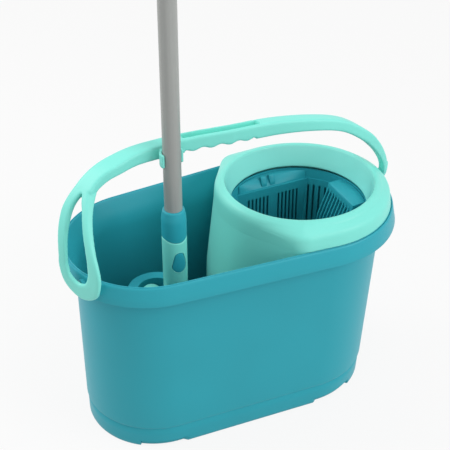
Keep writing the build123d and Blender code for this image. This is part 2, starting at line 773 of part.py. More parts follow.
def button_egg(grow, y):
    """Egg outline of the release button, standing upright at depth y."""
    plane = Plane(origin=(pole_x, y, 0), x_dir=(0, 0, 1), z_dir=(0, 1, 0))
    return egg((button_low[0], button_low[1] + grow), (button_high[0], button_high[1] + grow), plane)


cheek_inner = knuckle_half + moving_gap
with BuildPart() as joint_housing:
    with BuildSketch(Plane.XY.offset(shell_bottom)):
        with Locations((pole_x, pole_y)):
            Circle(shell_radius)
    extrude(amount=seam_high - shell_bottom)
    with BuildSketch(pole_plane):
        with Locations((pole_x, seam_low + seam_radius)):
            Circle(seam_radius + seam_gap)
    extrude(amount=2 * shell_radius, both=True, mode=Mode.SUBTRACT)
    with BuildSketch(Plane.XY.offset(tube_bottom)):
        with Locations((pole_x, pole_y)):
            Circle(tube_radius)
    extrude(amount=seam_high - tube_bottom, mode=Mode.SUBTRACT)
    extrude(button_egg(moving_gap, pole_y - 2 * shell_radius), amount=2 * shell_radius - pocket_floor,
            mode=Mode.SUBTRACT)
    with BuildSketch(level_plane(hinge_turn, pole_x, pole_y, cheek_bottom)):
        with Locations((cheek_inner + cheek_thickness / 2, 0), (-cheek_inner - cheek_thickness / 2, 0)):
            Rectangle(cheek_thickness, 2 * cheek_half)
    extrude(amount=shell_bottom + overrun - cheek_bottom)
    with BuildSketch(axis_plane(hinge_turn, pole_x, pole_y, upper_pin_height)):
        Circle(pin_radius)
    extrude(amount=2 * shell_radius, both=True, mode=Mode.SUBTRACT)
finish(joint_housing, "joint_housing")

with BuildPart() as release_button:
    with BuildSketch(Plane.XY.offset(shell_bottom)):
        with Locations((pole_x, pole_y)):
            Circle(shell_radius + button_proud)
    extrude(amount=seam_high - shell_bottom)
    extrude(button_egg(0, pole_y - 2 * shell_radius), amount=2 * shell_radius - button_back,
            mode=Mode.INTERSECT)
finish(release_button, "release_button")

with BuildPart() as button_spring:
    with BuildSketch(Plane.XZ.offset(-pole_y + button_back)):
        with Locations((pole_x, (button_low[0] + button_high[0]) / 2)):
            Rectangle(button_high[1], button_high[0] - button_low[0] + button_low[1])
    extrude(amount=-spring_leaf)
finish(button_spring, "button_spring")

# Universal joint: the upper pin runs along the handle's hinge line, the lower pin across it
upper_pin_plane = axis_plane(hinge_turn, pole_x, pole_y, upper_pin_height)
lower_pin_plane = axis_plane(hinge_turn + 90, pole_x, pole_y, lower_pin_height)
ear_inner = knuckle_half + seat_gap
with BuildPart() as joint_knuckle:
    for plane in (upper_pin_plane, lower_pin_plane):
        with BuildSketch(plane):
            Circle(knuckle_radius)
        extrude(amount=knuckle_half, both=True)
    with BuildSketch(level_plane(hinge_turn, pole_x, pole_y, lower_pin_height)):
        Rectangle(2 * knuckle_radius, 2 * knuckle_radius)
    extrude(amount=upper_pin_height - lower_pin_height)
    for plane in (upper_pin_plane, lower_pin_plane):
        with BuildSketch(plane):
            Circle(pin_radius + running_gap)
        extrude(amount=2 * knuckle_half, both=True, mode=Mode.SUBTRACT)
finish(joint_knuckle, "joint_knuckle")

for plane, reach, name in ((upper_pin_plane, cheek_inner + cheek_thickness, "upper_joint_pin"),
                           (lower_pin_plane, ear_inner + ear_thickness, "lower_joint_pin")):
    with BuildPart() as joint_pin:
        with BuildSketch(plane):
            Circle(pin_radius)
        extrude(amount=reach, both=True)
    finish(joint_pin, name)


def head_plane(z):
    """Level plane on the pole's axis with its own x along the mop head."""
    return level_plane(head_turn, pole_x, pole_y, z)


def head_point(along):
    """World x and y of a point along the mop head, from the pole's axis."""
    return pole_x + along * cos(radians(head_turn)), pole_y + along * sin(radians(head_turn))


# Head hub: plate, pedal ring open at the joint, two ears for the lower pin and lugs for the wing pins
lug_inner = wing_knuckle + moving_gap
with BuildPart() as head_hub:
    with BuildSketch(head_plane(hub_plate_bottom)):
        with Locations((hub_shift, 0)):
            RectangleRounded(2 * hub_half[0], 2 * hub_half[1], ring_outer - ring_inner)
        with Locations((ring_shift, 0)):
            Circle(ring_outer)
    extrude(amount=hub_plate_top - hub_plate_bottom)
    with BuildSketch(head_plane(hub_plate_top)):
        with Locations((ring_shift, 0)):
            Circle(ring_outer)
            Circle(ring_inner, mode=Mode.SUBTRACT)
        Circle(joint_room, mode=Mode.SUBTRACT)
    extrude(amount=ring_top - hub_plate_top)
    for side in (-1, 1):
        with BuildSketch(lower_pin_plane.offset(side * ear_inner)):
            Circle(ear_radius)
            Rectangle(2 * ear_radius, lower_pin_height - hub_plate_bottom - overrun,
                      align=(Align.CENTER, Align.MAX))
        extrude(amount=side * ear_thickness)
    with BuildSketch(lower_pin_plane):
        Circle(pin_radius)
    extrude(amount=joint_room, both=True, mode=Mode.SUBTRACT)
    for side in (-1, 1):
        hinge_x, hinge_y = head_point(hub_shift + side * wing_hinge_reach)
        wing_plane = axis_plane(head_turn + 90, hinge_x, hinge_y, wing_hinge_height)
        for end in (-1, 1):
            with BuildSketch(wing_plane.offset(end * lug_inner)):
                Circle(wing_knuckle_radius)
                Rectangle(2 * wing_knuckle_radius, hub_plate_top - wing_hinge_height - overrun,
                          align=(Align.CENTER, Align.MIN))
            extrude(amount=end * lug_width)
        with BuildSketch(wing_plane):
            Circle(wing_pin_radius)
        extrude(amount=lug_inner + lug_width + overrun, both=True, mode=Mode.SUBTRACT)
    with BuildSketch(head_plane(hub_plate_bottom)):
        with Locations((pedal_shift, 0)):
            Circle(pedal_stem + moving_gap)
    extrude(amount=ring_top, mode=Mode.SUBTRACT)
finish(head_hub, "head_hub")

pedal_x, pedal_y = head_point(pedal_shift)
pedal_under = hub_plate_top + pedal_travel + 3 * moving_gap
with BuildPart() as foot_pedal:
    with BuildSketch(Plane.XZ.offset(-pedal_y)):
        with BuildLine():
            skirt = Polyline(
                (pedal_x, hub_plate_bottom - 2 * pedal_travel),
                (pedal_x + pedal_stem, hub_plate_bottom - 2 * pedal_travel),
                (pedal_x + pedal_stem, pedal_under),
                (pedal_x + pedal_radius, pedal_under),
                (pedal_x + pedal_radius, pedal_under + pedal_travel),
            )
            Spline(skirt @ 1, (pedal_x, pedal_top), tangents=((0, 1), (-1, 0)))
            Line((pedal_x, pedal_top), skirt @ 0)
        make_face()
    revolve(axis=Axis((pedal_x, pedal_y, 0), (0, 0, 1)))
finish(foot_pedal, "foot_pedal")

with BuildPart() as pedal_spring:
    with BuildSketch(Plane.XY.offset(pedal_under)):
        with Locations((pedal_x, pedal_y)):
            Circle(pedal_radius - pedal_travel)
            Circle(pedal_stem + moving_gap, mode=Mode.SUBTRACT)
    extrude(amount=-moving_gap)
finish(pedal_spring, "pedal_spring")

# Folding wings hang straight down, with a pad over the outer face of each
for side, name in ((1, "left"), (-1, "right")):
    hinge_x, hinge_y = head_point(hub_shift + side * wing_hinge_reach)
    wing_plane = axis_plane(head_turn + 90, hinge_x, hinge_y, wing_hinge_height)
    with BuildPart() as wing:
        with BuildSketch(wing_plane):
            Circle(wing_knuckle_radius)
            Rectangle(wing_thickness, wing_length / 4, align=(Align.CENTER, Align.MAX))
        extrude(amount=wing_knuckle, both=True)
        with BuildSketch(wing_plane):
            with Locations((0, -2 * wing_knuckle_radius)):
                Rectangle(wing_thickness, wing_length - 2 * wing_knuckle_radius,
                          align=(Align.CENTER, Align.MAX))
        extrude(amount=wing_width / 2, both=True)
        with BuildSketch(wing_plane):
            Circle(wing_pin_radius + running_gap)
        extrude(amount=wing_width, both=True, mode=Mode.SUBTRACT)
    finish(wing, f"wing_{name}")
    with BuildPart() as wing_pin:
        with BuildSketch(wing_plane):
            Circle(wing_pin_radius)
        extrude(amount=lug_inner + lug_width, both=True)
    finish(wing_pin, f"wing_pin_{name}")
    with BuildPart() as mop_cover:
        outer_face = axis_plane(head_turn, hinge_x, hinge_y, wing_hinge_height)
        with BuildSketch(outer_face.offset(side * wing_thickness / 2)):
            with Locations((0, -2 * wing_knuckle_radius)):
                Rectangle(cover_width, wing_length - 2 * wing_knuckle_radius + cover_overhang,
                          align=(Align.CENTER, Align.MAX))
        extrude(amount=side * cover_thickness)
        fillet(mop_cover.edges().filter_by(Axis((0, 0, 0), outer_face.z_dir)), radius=cover_thickness)
    finish(mop_cover, f"mop_cover_{name}")
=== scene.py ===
"""Spin mop standing in its bucket: the looks of every piece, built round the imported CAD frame.

Sizes are in millimetres, in the CAD frame: +X towards the spin basket, -Y to the front, Z up.
"""

import json
from math import cos, pi, radians, sin, tau

import bmesh
import bpy
import numpy as np
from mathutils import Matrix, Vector

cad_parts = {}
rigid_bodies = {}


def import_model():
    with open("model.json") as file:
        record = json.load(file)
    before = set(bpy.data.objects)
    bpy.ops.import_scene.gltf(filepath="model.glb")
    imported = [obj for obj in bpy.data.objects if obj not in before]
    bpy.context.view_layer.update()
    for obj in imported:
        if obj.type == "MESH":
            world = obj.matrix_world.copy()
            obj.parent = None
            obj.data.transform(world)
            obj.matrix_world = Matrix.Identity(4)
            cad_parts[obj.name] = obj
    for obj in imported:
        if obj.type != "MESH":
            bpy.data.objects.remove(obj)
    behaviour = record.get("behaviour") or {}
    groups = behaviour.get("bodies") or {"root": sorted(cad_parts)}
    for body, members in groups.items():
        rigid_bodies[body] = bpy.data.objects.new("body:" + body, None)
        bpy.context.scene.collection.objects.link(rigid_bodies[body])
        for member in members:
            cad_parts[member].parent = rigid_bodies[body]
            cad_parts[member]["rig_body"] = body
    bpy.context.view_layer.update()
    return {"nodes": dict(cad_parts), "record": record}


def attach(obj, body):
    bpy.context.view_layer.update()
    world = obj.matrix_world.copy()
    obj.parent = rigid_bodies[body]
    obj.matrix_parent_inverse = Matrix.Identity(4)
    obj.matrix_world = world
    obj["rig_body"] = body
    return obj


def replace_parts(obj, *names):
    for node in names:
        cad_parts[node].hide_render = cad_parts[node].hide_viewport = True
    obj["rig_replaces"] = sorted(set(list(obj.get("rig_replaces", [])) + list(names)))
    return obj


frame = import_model()

MM = 0.001

# Photo camera, stage and light
camera_place = (-551.3, -1147.6, 1132.7)
camera_target = (-6.4, 0.0, 279.0)
camera_lens = 88.0
camera_film = 36.0
camera_far = 60000.0
light_target = (0, 0, 250)
room_level = 0.66
floor_half = 30000.0
floor_grey = (0.65, 0.65, 0.65, 1)
floor_plain = 0.88

# Finish of the meshes: welds of the surfaces and of the CAD nodes, and the CAD nodes' rounded edges
surface_weld = 0.002
node_weld = 0.004
plain_edge = 0.3
edge_of = {"head_hub": 0.8, "wing_left": 0.8, "wing_right": 0.8}

# The part of a noise's range that a change of colour or gloss is drawn over
noise_low = 0.3
noise_high = 0.7

# Bucket: the rim's circles as (x, radius), the wall's as (left x, left radius, right x, right radius)
rim_left = (-121.0, 112.0)
rim_right = (109.0, 128.5)
wall_bottom = (-118.0, 102.5, 97.0, 112.5)
wall_top = (-121.0, 101.0, 109.0, 117.5)
flare_height = 262.0
rim_height = 293.0
flare_spread = 13.6
flare_ease = 13.0
wall = 2.6
skirt_bottom = 266.0
skirt_roof = 286.0
band_height = 35.0
band_inset = 1.5
band_groove = 2.3
floor_thick = 4.0
notch_places = (-146.0, 121.0)
notch_length = 62.0
notch_depth = 4.5
notch_height = 9.0
notch_front = -40.0
base_middle = 60.0
floor_middle = 70.0

# The spindle's seat on the bucket's floor, as (radius, height, rounding)
seat_outline = [(16, 3.8, 0), (16, 40, 1), (5, 40, 0)]

# Splash housing: lip levels as (rise over the rim, right radius, left radius, corner radius)
basket_x = 109.0
housing_wall = 2.4
housing_gap = 0.4
corner_reach = 107.0
corner_angle = radians(115.0)
lip_seat = 0.6
lip_foot = (lip_seat, 129.9, 120.41, 29.71)
lip_levels = [
    (0.9, 130.4, 120.42, 29.72),
    (9, 129.4, 120.1, 29.3),
    (16, 128.2, 119.7, 28.4),
    (20.5, 126.2, 119.2, 26.4),
    (23.8, 122.4, 118.4, 23),
    (27, 117.4, 117.0, 18),
    (29.8, 112.2, 114.6, 12.5),
    (32, 106.9, 110.4, 7),
]
flush_rise = 0.15
back_drop = 0.2
back_side = radians(80.0)
shoulder_heights = (292.6, 288, 280, 272, 264.5, 263.0, 262.6)
shoulder_foot = 262.5
shoulder_edge = 0.3

# Funnel: its face from the crest down to the mouth and back up behind, as (radius, height)
funnel_face = [
    (106.9, 325.3), (106.2, 325.1), (105.5, 324.3), (105.0, 322.6), (103.6, 316.5),
    (101.4, 308.0), (99.2, 299.5), (97.3, 291.8), (96.7, 289.6), (96.5, 288.4),
    (96.7, 287.3), (97.3, 286.8), (98.3, 287.0), (99.2, 288.4), (107.2, 317.4),
]
funnel_crest = 105.6
funnel_mouth = 286.0

# Partition of the housing: its axis bends at (height, x), and its left radius tapers between two heights
partition_bend = (190.0, 101.0)
taper_heights = (171.0, 293.0)
taper_radii = (124.4, 120.4)
partition_right = 130.5
partition_corner = 29.7
partition_proud = 0.02
drain_places = (-60.0, 0.0, 60.0)
drain_width = 30.0
drain_height = 16.0

# Spin basket: ramp caps, ledges and catch ribs, with outlines as (distance out, height, rounding)
basket_round = 96.6
ramp_curl = [
    (69.2, 268, 0), (69.2, 280.8, 5), (86, 282.2, 4), (97, 281.0, 0.5),
    (97, 278.6, 0.5), (72, 278.0, 2), (71.4, 268, 0.2),
]
ramp_drop = 1.6
ramp_half = 35.0
ledge_half = 55.0
ledge_wall = 78.2
ledge_low = 268.6
ledge_swell = 12.0
ledge_thick = 1.0
rib_outline = [
    (79.2, 267, 0.6), (79.2, 274, 1), (83.5, 284, 1.6), (86, 284, 1.6), (95, 277, 1), (95, 267, 0.6),
]
rib_places = (-13.0, 1.0)
rib_half = 4.2
rib_edge = 0.6
rib_shrink = 0.93

# Carry handle: its hinge, and the arch of each half from the front as (distance from the middle, height)
handle_x = 2.3
hinge_turn = radians(9.35)
hinge_y = -7.2
hinge_height = 279.0
boss_ends = (-239.5, 245.0)
boss_length = 17.5
boss_radius = 8.0
boss_edge = 1.5
boss_bevel = 0.4
left_turn = radians(25.0)
right_turn = radians(10.0)
left_outer = [
    (244, 280), (244, 300), (238.4, 340), (222.2, 373.5),
    (190.7, 405.5), (150.4, 424), (75, 430.5), (0, 432),
]
left_inner = [
    (237, 280), (237, 300), (230.4, 340), (210, 374),
    (180, 397.6), (150, 408), (75, 409.8), (0, 410),
]
right_outer = [
    (250, 300), (246.5, 318), (238, 337), (221, 362),
    (200, 385), (165, 408), (118, 422), (60, 430), (0, 432),
]
right_inner = [
    (243, 300), (239.5, 314), (230, 330), (211, 353),
    (189, 374), (157, 394), (112, 405), (60, 409.5), (0, 410),
]

# The left half's edges from above, and the right half's across its own direction
left_back = [(-216, 1), (-203, 5), (-168, 12), (-124, 19), (-60, 16.5), (2.3, 10)]
left_front = [(-204, -25), (-188, -18.5), (-160, -15), (-124, -5), (-60, -4), (2.3, -10)]
right_front = [-45, -47.5, -50.5, -55, -55, -45.8, -36.2, -22.8, -10]
right_back = [-33, -34.5, -37, -40.5, -33, -23.2, -14.5, -2.1, 10]

# The left loop's outline and window on the handle's sheet, as (across, height)
loop_outline = [
    (86, 303), (88, 330), (94, 360), (97, 380), (92, 402), (80, 410), (66, 397),
    (48, 373), (32, 350), (18, 325), (13.5, 303), (22, 279), (48, 267), (75, 278),
]
window_outline = [
    (73, 309), (75, 332), (80, 358), (83, 378), (80, 390), (77, 394), (71, 387),
    (63, 378), (49, 357), (38, 335), (34, 312), (39, 296), (53, 289.5), (67, 296),
]

# The right end's hook: its middle line as (across, height, half width), and its two faces' distances out
hook_line = [
    (-39.5, 316, 6.4), (-39, 305, 6.5), (-35.5, 294, 7),
    (-28, 285, 7.6), (-17, 280, 8.4), (-8, 279, 9),
]
hook_sheet = (243.5, 250.5)
eye_sweep = (0.12, 1.45)

# The handle's rounded sections, grip, channel and pole clip
bar_rounding = 0.2
loop_rounding = 0.3
finger_pitch = 25.0
finger_depth = 3.5
finger_middle = -15.0
fingers = 4
finger_end = 100.0
finger_fade = 20.0
channel_middle = -12.0
channel_half = 54.0
channel_depth = 10.0
channel_across = 0.55
channel_share = 0.26
clip_inside = 12.4
clip_outside = 16.2
clip_reach = 3.5
clip_heights = (407.0, 426.0)

# Pole: its tubes as (outer radius, inner radius, bottom, top), and the fittings on them
pole_x = -90.0
pole_y = -17.0
lower_tube = (12, 11, 288.2, 760)
upper_tube = (10, 9, 500, 1016)
sleeve_radius = 15.5
sleeve_bores = (12.06, 10.4)
sleeve_bottom = 738.0
sleeve_step = 760.4
sleeve_top = 800.0
flute_ends = (746.0, 774.0)
flute_depth = 0.7
flutes = 12
grip_radius = 14.0
grip_bore = 10.02
grip_bottom = 900.0
grip_top = 1009.9
ring_ends = (908.0, 1002.0)
ring_depth = 0.6
ring_pitch = 7.0
wave_fade = 4.0
least_waved = 11.0
cap_bottom = 1010.1
cap_seat = 1016.0
dome_bottom = 1033.0
dome_rise = 7.0

# Collar, joint shell and release button at the pole's foot, the button's ends as (height, radius)
collar_bore = 12.1
collar_shoulder = 326.0
collar_top = 340.0
seam_low = 294.0
seam_rise = 4.0
seam_gap = 0.3
shell_radius = 17.0
shell_bore = 12.2
shell_bottom = 226.0
shell_edge = 0.6
button_low = (256.0, 9.5)
button_high = (271.3, 6.2)
button_proud = 0.9
pocket_depth = 3.2
pocket_edge = 0.55
pocket_slope = 0.5
pocket_bead = 0.35
bead_place = 1.5
bead_width = 0.6
upper_pin = 214.0
cheek_half = 9.0
cheek_sides = (9.4, 14.4)
cheek_top = 227.5
cheek_edge = 0.4
cheek_shrink = 0.96

# Mop covers: half their size as (across, along, thick), their places out from the pole, and their pile
head_turn = radians(145.0)
cover_half = (46.0, 56.5, 4.5)
cover_out = {"left": 61.5, "right": -29.5}
cover_height = 98.5
cover_square = 0.36
cover_edge = 0.45
cover_waist = 0.025
cover_swell = 0.18
pile_room = 0.7
tuft_waves = 24
tuft_lengths = (3.2, 6.5)
tuft_height = 0.14


def smooth_line(points, count):
    """A smooth curve through the points: cubics whose slope at a point is half its neighbours' chord."""
    line = np.asarray(points, float)
    ends = np.vstack([2 * line[0] - line[1], line, 2 * line[-1] - line[-2]])
    t = np.linspace(0, len(line) - 1, count)
    span = np.minimum(t.astype(int), len(line) - 2)
    f = (t - span)[:, None]
    a, b, c, d = ends[span], ends[span + 1], ends[span + 2], ends[span + 3]
    return 0.5 * (2 * b + (c - a) * f + (2 * a - 5 * b + 4 * c - d) * f**2 + (3 * b - a - 3 * c + d) * f**3)


def round_corners(corners, closed=False, steps=5):
    """A line of corners (x, y, rounding): each becomes a parabola that leaves and meets its two sides."""
    corners = np.asarray(corners, float)
    place, rounding = corners[:, :2], corners[:, 2]
    before, after = np.roll(place, 1, axis=0), np.roll(place, -1, axis=0)
    to_before, to_after = before - place, after - place
    reach_before = np.linalg.norm(to_before, axis=1)
    reach_after = np.linalg.norm(to_after, axis=1)
    cut = np.minimum(rounding, 0.49 * np.minimum(reach_before, reach_after))
    if not closed:
        cut[[0, -1]] = 0
    start = place + to_before * (cut / reach_before)[:, None]
    end = place + to_after * (cut / reach_after)[:, None]
    t = np.linspace(0, 1, steps)[None, :, None]
    bends = (1 - t) ** 2 * start[:, None] + 2 * t * (1 - t) * place[:, None] + t**2 * end[:, None]
    keep = np.ones(bends.shape[:2], bool)
    keep[cut < 1e-6, 1:] = False
    return bends[keep]


def skin(grid, rows_closed=False):
    """Points and faces of a grid whose columns run round: quads, and a flat face on each open end."""
    rows, columns = grid.shape[:2]
    r = np.arange(rows if rows_closed else rows - 1)
    r, c = np.meshgrid(r, np.arange(columns), indexing="ij")
    next_r, next_c = (r + 1) % rows, (c + 1) % columns
    here, beside = r * columns + c, r * columns + next_c
    after, across = next_r * columns + c, next_r * columns + next_c
    quads = np.stack([here, beside, across, after], -1)
    faces = quads.reshape(-1, 4).tolist()
    if not rows_closed:
        faces.append(list(range(columns - 1, -1, -1)))
        faces.append(list(range((rows - 1) * columns, rows * columns)))
    return grid.reshape(-1, 3), faces


def all_round(count):
    """Even angles once round an axis."""
    return np.linspace(0, tau, count, endpoint=False)


def grid_of(x, y, z):
    """A grid of points from its three coordinates, each spread over the whole grid."""
    return np.stack(np.broadcast_arrays(x, y, z), axis=-1)


def turned(profile, x, y, count=96):
    """A turned surface: each profile point (radius, height) is carried round the upright axis at x, y."""
    radius, height = np.asarray(profile, float).T[:, :, None]
    angle = all_round(count)
    return grid_of(x + radius * np.cos(angle), y + radius * np.sin(angle), height)


def set_out(origin, turn, along, across, height):
    """Points set out in plan from an origin, along a turned direction and across it, each at a height."""
    x = origin[0] + along * cos(turn) - across * sin(turn)
    y = origin[1] + along * sin(turn) + across * cos(turn)
    return grid_of(x, y, height)


def rounded_square(rounding, steps):
    """Columns across and up of a square from 0 to 1, with its corners rounded."""
    corners = [(0, 0, rounding), (1, 0, rounding), (1, 1, rounding), (0, 1, rounding)]
    return round_corners(corners, closed=True, steps=steps)


def piece(name, body, slot, material, skins, nodes=(), crease=35, voxel=0, smoothing=0):
    """A shown piece of one or more skins: welded, facing outward, on a body and in place of CAD nodes."""
    points, faces, first = [], [], 0
    for skin_points, skin_faces in skins:
        points.append(skin_points)
        faces += [[first + corner for corner in face] for face in skin_faces]
        first += len(skin_points)
    mesh = bpy.data.meshes.new(name)
    mesh.from_pydata((np.vstack(points) * MM).tolist(), [], faces)
    shape = bmesh.new()
    shape.from_mesh(mesh)
    bmesh.ops.remove_doubles(shape, verts=shape.verts, dist=surface_weld * MM)
    bmesh.ops.recalc_face_normals(shape, faces=shape.faces)
    shape.to_mesh(mesh)
    shape.free()
    made = bpy.data.objects.new(name, mesh)
    bpy.context.scene.collection.objects.link(made)
    if voxel:
        remesh = made.modifiers.new("one_skin", "REMESH")
        remesh.mode = "VOXEL"
        remesh.voxel_size = voxel * MM
        smooth = made.modifiers.new("soften", "SMOOTH")
        smooth.factor = 0.5
        smooth.iterations = smoothing
        evaluated = made.evaluated_get(bpy.context.evaluated_depsgraph_get())
        made.data = bpy.data.meshes.new_from_object(evaluated)
        made.modifiers.clear()
    made.data.shade_smooth()
    made.data.set_sharp_from_angle(angle=radians(crease))
    made.data.materials.clear()
    made.data.materials.append(material)
    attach(made, body)
    if nodes:
        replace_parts(made, *nodes)
    return made


def empty_tree(owner, output_type):
    """A material's or world's tree with only its output: gives its nodes, its links and the surface."""
    owner.use_nodes = True
    nodes, links = owner.node_tree.nodes, owner.node_tree.links
    nodes.clear()
    return nodes, links, nodes.new(output_type).inputs["Surface"]


def new_material(name):
    """A material with only a principled shader: gives the material, its nodes, its links and the shader."""
    material = bpy.data.materials.new(name)
    nodes, links, surface = empty_tree(material, "ShaderNodeOutputMaterial")
    shader = nodes.new("ShaderNodeBsdfPrincipled")
    links.new(shader.outputs["BSDF"], surface)
    return material, nodes, links, shader


def grain(nodes, links, scale, detail, stretch=(1, 1, 1)):
    """A noise over the object's own coordinates, drawn out by stretch."""
    place = nodes.new("ShaderNodeTexCoord")
    mapping = nodes.new("ShaderNodeMapping")
    mapping.inputs["Scale"].default_value = stretch
    noise = nodes.new("ShaderNodeTexNoise")
    noise.inputs["Scale"].default_value = scale
    noise.inputs["Detail"].default_value = detail
    links.new(place.outputs["Object"], mapping.inputs["Vector"])
    links.new(mapping.outputs["Vector"], noise.inputs["Vector"])
    return noise


def two_tone(nodes, links, noise, colour, change):
    """Colour along a noise, from a little darker to a little lighter."""
    ramp = nodes.new("ShaderNodeValToRGB")
    dark, light = ramp.color_ramp.elements
    dark.position = noise_low
    light.position = noise_high
    dark.color = (*[part * (1 - change) for part in colour], 1)
    light.color = (*[min(1, part * (1 + change)) for part in colour], 1)
    links.new(noise.outputs["Fac"], ramp.inputs["Fac"])
    return ramp.outputs["Color"]


def gloss_range(nodes, links, noise, low, high):
    """Roughness between two values along a noise."""
    spread = nodes.new("ShaderNodeMapRange")
    spread.inputs["From Min"].default_value = noise_low
    spread.inputs["From Max"].default_value = noise_high
    spread.inputs["To Min"].default_value = low
    spread.inputs["To Max"].default_value = high
    links.new(noise.outputs["Fac"], spread.inputs["Value"])
    return spread.outputs["Result"]


def bump(nodes, links, noise, strength, depth):
    """Fine relief from a noise, depth in millimetres."""
    relief = nodes.new("ShaderNodeBump")
    relief.inputs["Strength"].default_value = strength
    relief.inputs["Distance"].default_value = depth * MM
    links.new(noise.outputs["Fac"], relief.inputs["Height"])
    return relief.outputs["Normal"]


def moulded_plastic(name, colour, gloss, change=0.025, texture=0.1, shine=0.5):
    """Moulded plastic: faint flow clouds in the colour, uneven gloss and a fine moulded texture."""
    material, nodes, links, shader = new_material(name)
    clouds = grain(nodes, links, scale=9, detail=1)
    texture_noise = grain(nodes, links, scale=900, detail=2)
    ramp = two_tone(nodes, links, clouds, colour, change)
    uneven = gloss_range(nodes, links, clouds, low=gloss - 0.02, high=gloss + 0.02)
    relief = bump(nodes, links, texture_noise, strength=texture, depth=0.15)
    links.new(ramp, shader.inputs["Base Color"])
    links.new(uneven, shader.inputs["Roughness"])
    links.new(relief, shader.inputs["Normal"])
    shader.inputs["IOR"].default_value = 1.48
    shader.inputs["Specular IOR Level"].default_value = shine
    return material


def drawn_metal(name, colour, gloss, metallic, stretch):
    """Drawn or painted metal: fine lines along the drawing direction in colour, gloss and relief."""
    material, nodes, links, shader = new_material(name)
    lines = grain(nodes, links, scale=220, detail=4, stretch=stretch)
    ramp = two_tone(nodes, links, lines, colour, change=0.06)
    uneven = gloss_range(nodes, links, lines, low=gloss - 0.06, high=gloss + 0.08)
    relief = bump(nodes, links, lines, strength=0.06, depth=0.05)
    links.new(ramp, shader.inputs["Base Color"])
    links.new(uneven, shader.inputs["Roughness"])
    links.new(relief, shader.inputs["Normal"])
    shader.inputs["Metallic"].default_value = metallic
    return material


def pile_cloth(name, colour):
    """Microfibre pile: tufts in colour and relief, with a soft sheen."""
    material, nodes, links, shader = new_material(name)
    tufts = grain(nodes, links, scale=260, detail=5)
    ramp = two_tone(nodes, links, tufts, colour, change=0.25)
    relief = bump(nodes, links, tufts, strength=0.8, depth=1.5)
    links.new(ramp, shader.inputs["Base Color"])
    links.new(relief, shader.inputs["Normal"])
    shader.inputs["Roughness"].default_value = 0.95
    shader.inputs["Sheen Weight"].default_value = 0.4
    return material


teal = moulded_plastic("teal_plastic", (0.027, 0.365, 0.446), 0.40, shine=0.25)
mint = moulded_plastic("mint_plastic", (0.208, 0.750, 0.658), 0.42, shine=0.4)
# The funnel's face: the same mint plastic, glossier, with its colour made lighter as painted light
polished_mint_painted_light = moulded_plastic("polished_mint_painted_light", (0.300, 0.860, 0.780), 0.14, texture=0.02)
white_plastic = moulded_plastic("white_plastic", (0.72, 0.74, 0.73), 0.40)
grey_plastic = moulded_plastic("grey_plastic", (0.35, 0.37, 0.38), 0.45)
grip_teal = moulded_plastic("grip_plastic", (0.028, 0.310, 0.380), 0.55, texture=0.4)
pole_paint = drawn_metal("pole_paint", (0.335, 0.345, 0.332), 0.34, metallic=0.0, stretch=(1, 1, 0.02))
steel = drawn_metal("steel", (0.60, 0.60, 0.60), 0.28, metallic=1.0, stretch=(0.3, 0.3, 0.3))
microfibre = pile_cloth("microfibre_pile", (0.70, 0.74, 0.74))


def egg_rows(rows, arc=100, straight=40):
    """Level rings of an egg: two end circles (x, radius) and the two lines that touch both, one ring a row.

    The lines leave the circles at the angle whose cosine is the radius difference over the centre distance.
    """
    left_x, left_r, right_x, right_r, height = np.asarray(rows, float).T[:, :, None]
    touch = np.arccos((left_r - right_r) / (right_x - left_x))
    sweep = np.linspace(-1, 1, arc)[None]
    right_angle = touch * sweep
    left_angle = pi + (pi - touch) * sweep
    right = np.stack([right_x + right_r * np.cos(right_angle), right_r * np.sin(right_angle)], -1)
    left = np.stack([left_x + left_r * np.cos(left_angle), left_r * np.sin(left_angle)], -1)
    share = np.linspace(0, 1, straight + 2)[1:-1][None, :, None]
    back = right[:, -1:] + (left[:, :1] - right[:, -1:]) * share
    front = left[:, -1:] + (right[:, :1] - left[:, -1:]) * share
    ring = np.concatenate([right, back, left, front], axis=1)
    return np.concatenate([ring, np.broadcast_to(height[:, :, None], (*ring.shape[:2], 1))], axis=-1)


def wall_row(height, grow):
    """The tub wall's egg at a height, grown outward."""
    low, high = np.asarray(wall_bottom), np.asarray(wall_top)
    left_x, left_r, right_x, right_r = low + (high - low) * height / flare_height
    return left_x, left_r + grow, right_x, right_r + grow, height


def rim_row(height, grow):
    """The rim's egg, grown outward."""
    return rim_left[0], rim_left[1] + grow, rim_right[0], rim_right[1] + grow, height


def flare_row(height, grow):
    """The flare's inner face at a height, grown outward."""
    return rim_row(height, flare_spread * (height - rim_height) / (rim_height - flare_height) + grow)


def soft_flare(height):
    """How far the inside has flared at a height: a parabola eases from the upright wall into the flare."""
    slope = flare_spread / (rim_height - flare_height)
    over = np.clip(height - flare_height + flare_ease, 0, 2 * flare_ease)
    straight = max(height - flare_height - flare_ease, 0)
    return slope * (over**2 / (4 * flare_ease) + straight)


# Bucket: rows as (height or rise, growth), up the outside, over the crest and down the inside to the floor
foot_rows = [(0, -6), (0, -2.5), (0.7, -0.7), (2.5, 0), (8.4, 0), (8.8, 0), (9.6, 0), (20, 0)]
band_rows = [
    (-2.4, -band_inset), (-1.6, -band_groove), (-0.6, -band_groove), (0, -0.5), (1.2, -0.05), (3, 0),
]
under_rows = [(0.6, 1.6), (2, 2.2), (12, 2.4), (20, 2.4)]
roof_rows = [(-0.8, 0.3), (0, 2.2), (-0.8, 3.9)]
skirt_rows = [(10, 5.7), (1.4, 7.3), (0.3, 7.9), (0, 8.8), (0.3, 9.7), (1.4, 9.9), (12, 7.8)]
crest_rows = [
    (-5, 5.95), (-2.4, 5.4), (-1, 4.7), (-0.2, 3.7), (-0.4, 3.0), (-1.4, 2.6),
    (-1.4, 2.1), (-0.4, 1.7), (0, 1.0), (-0.2, 0.3), (-1, -0.35),
]
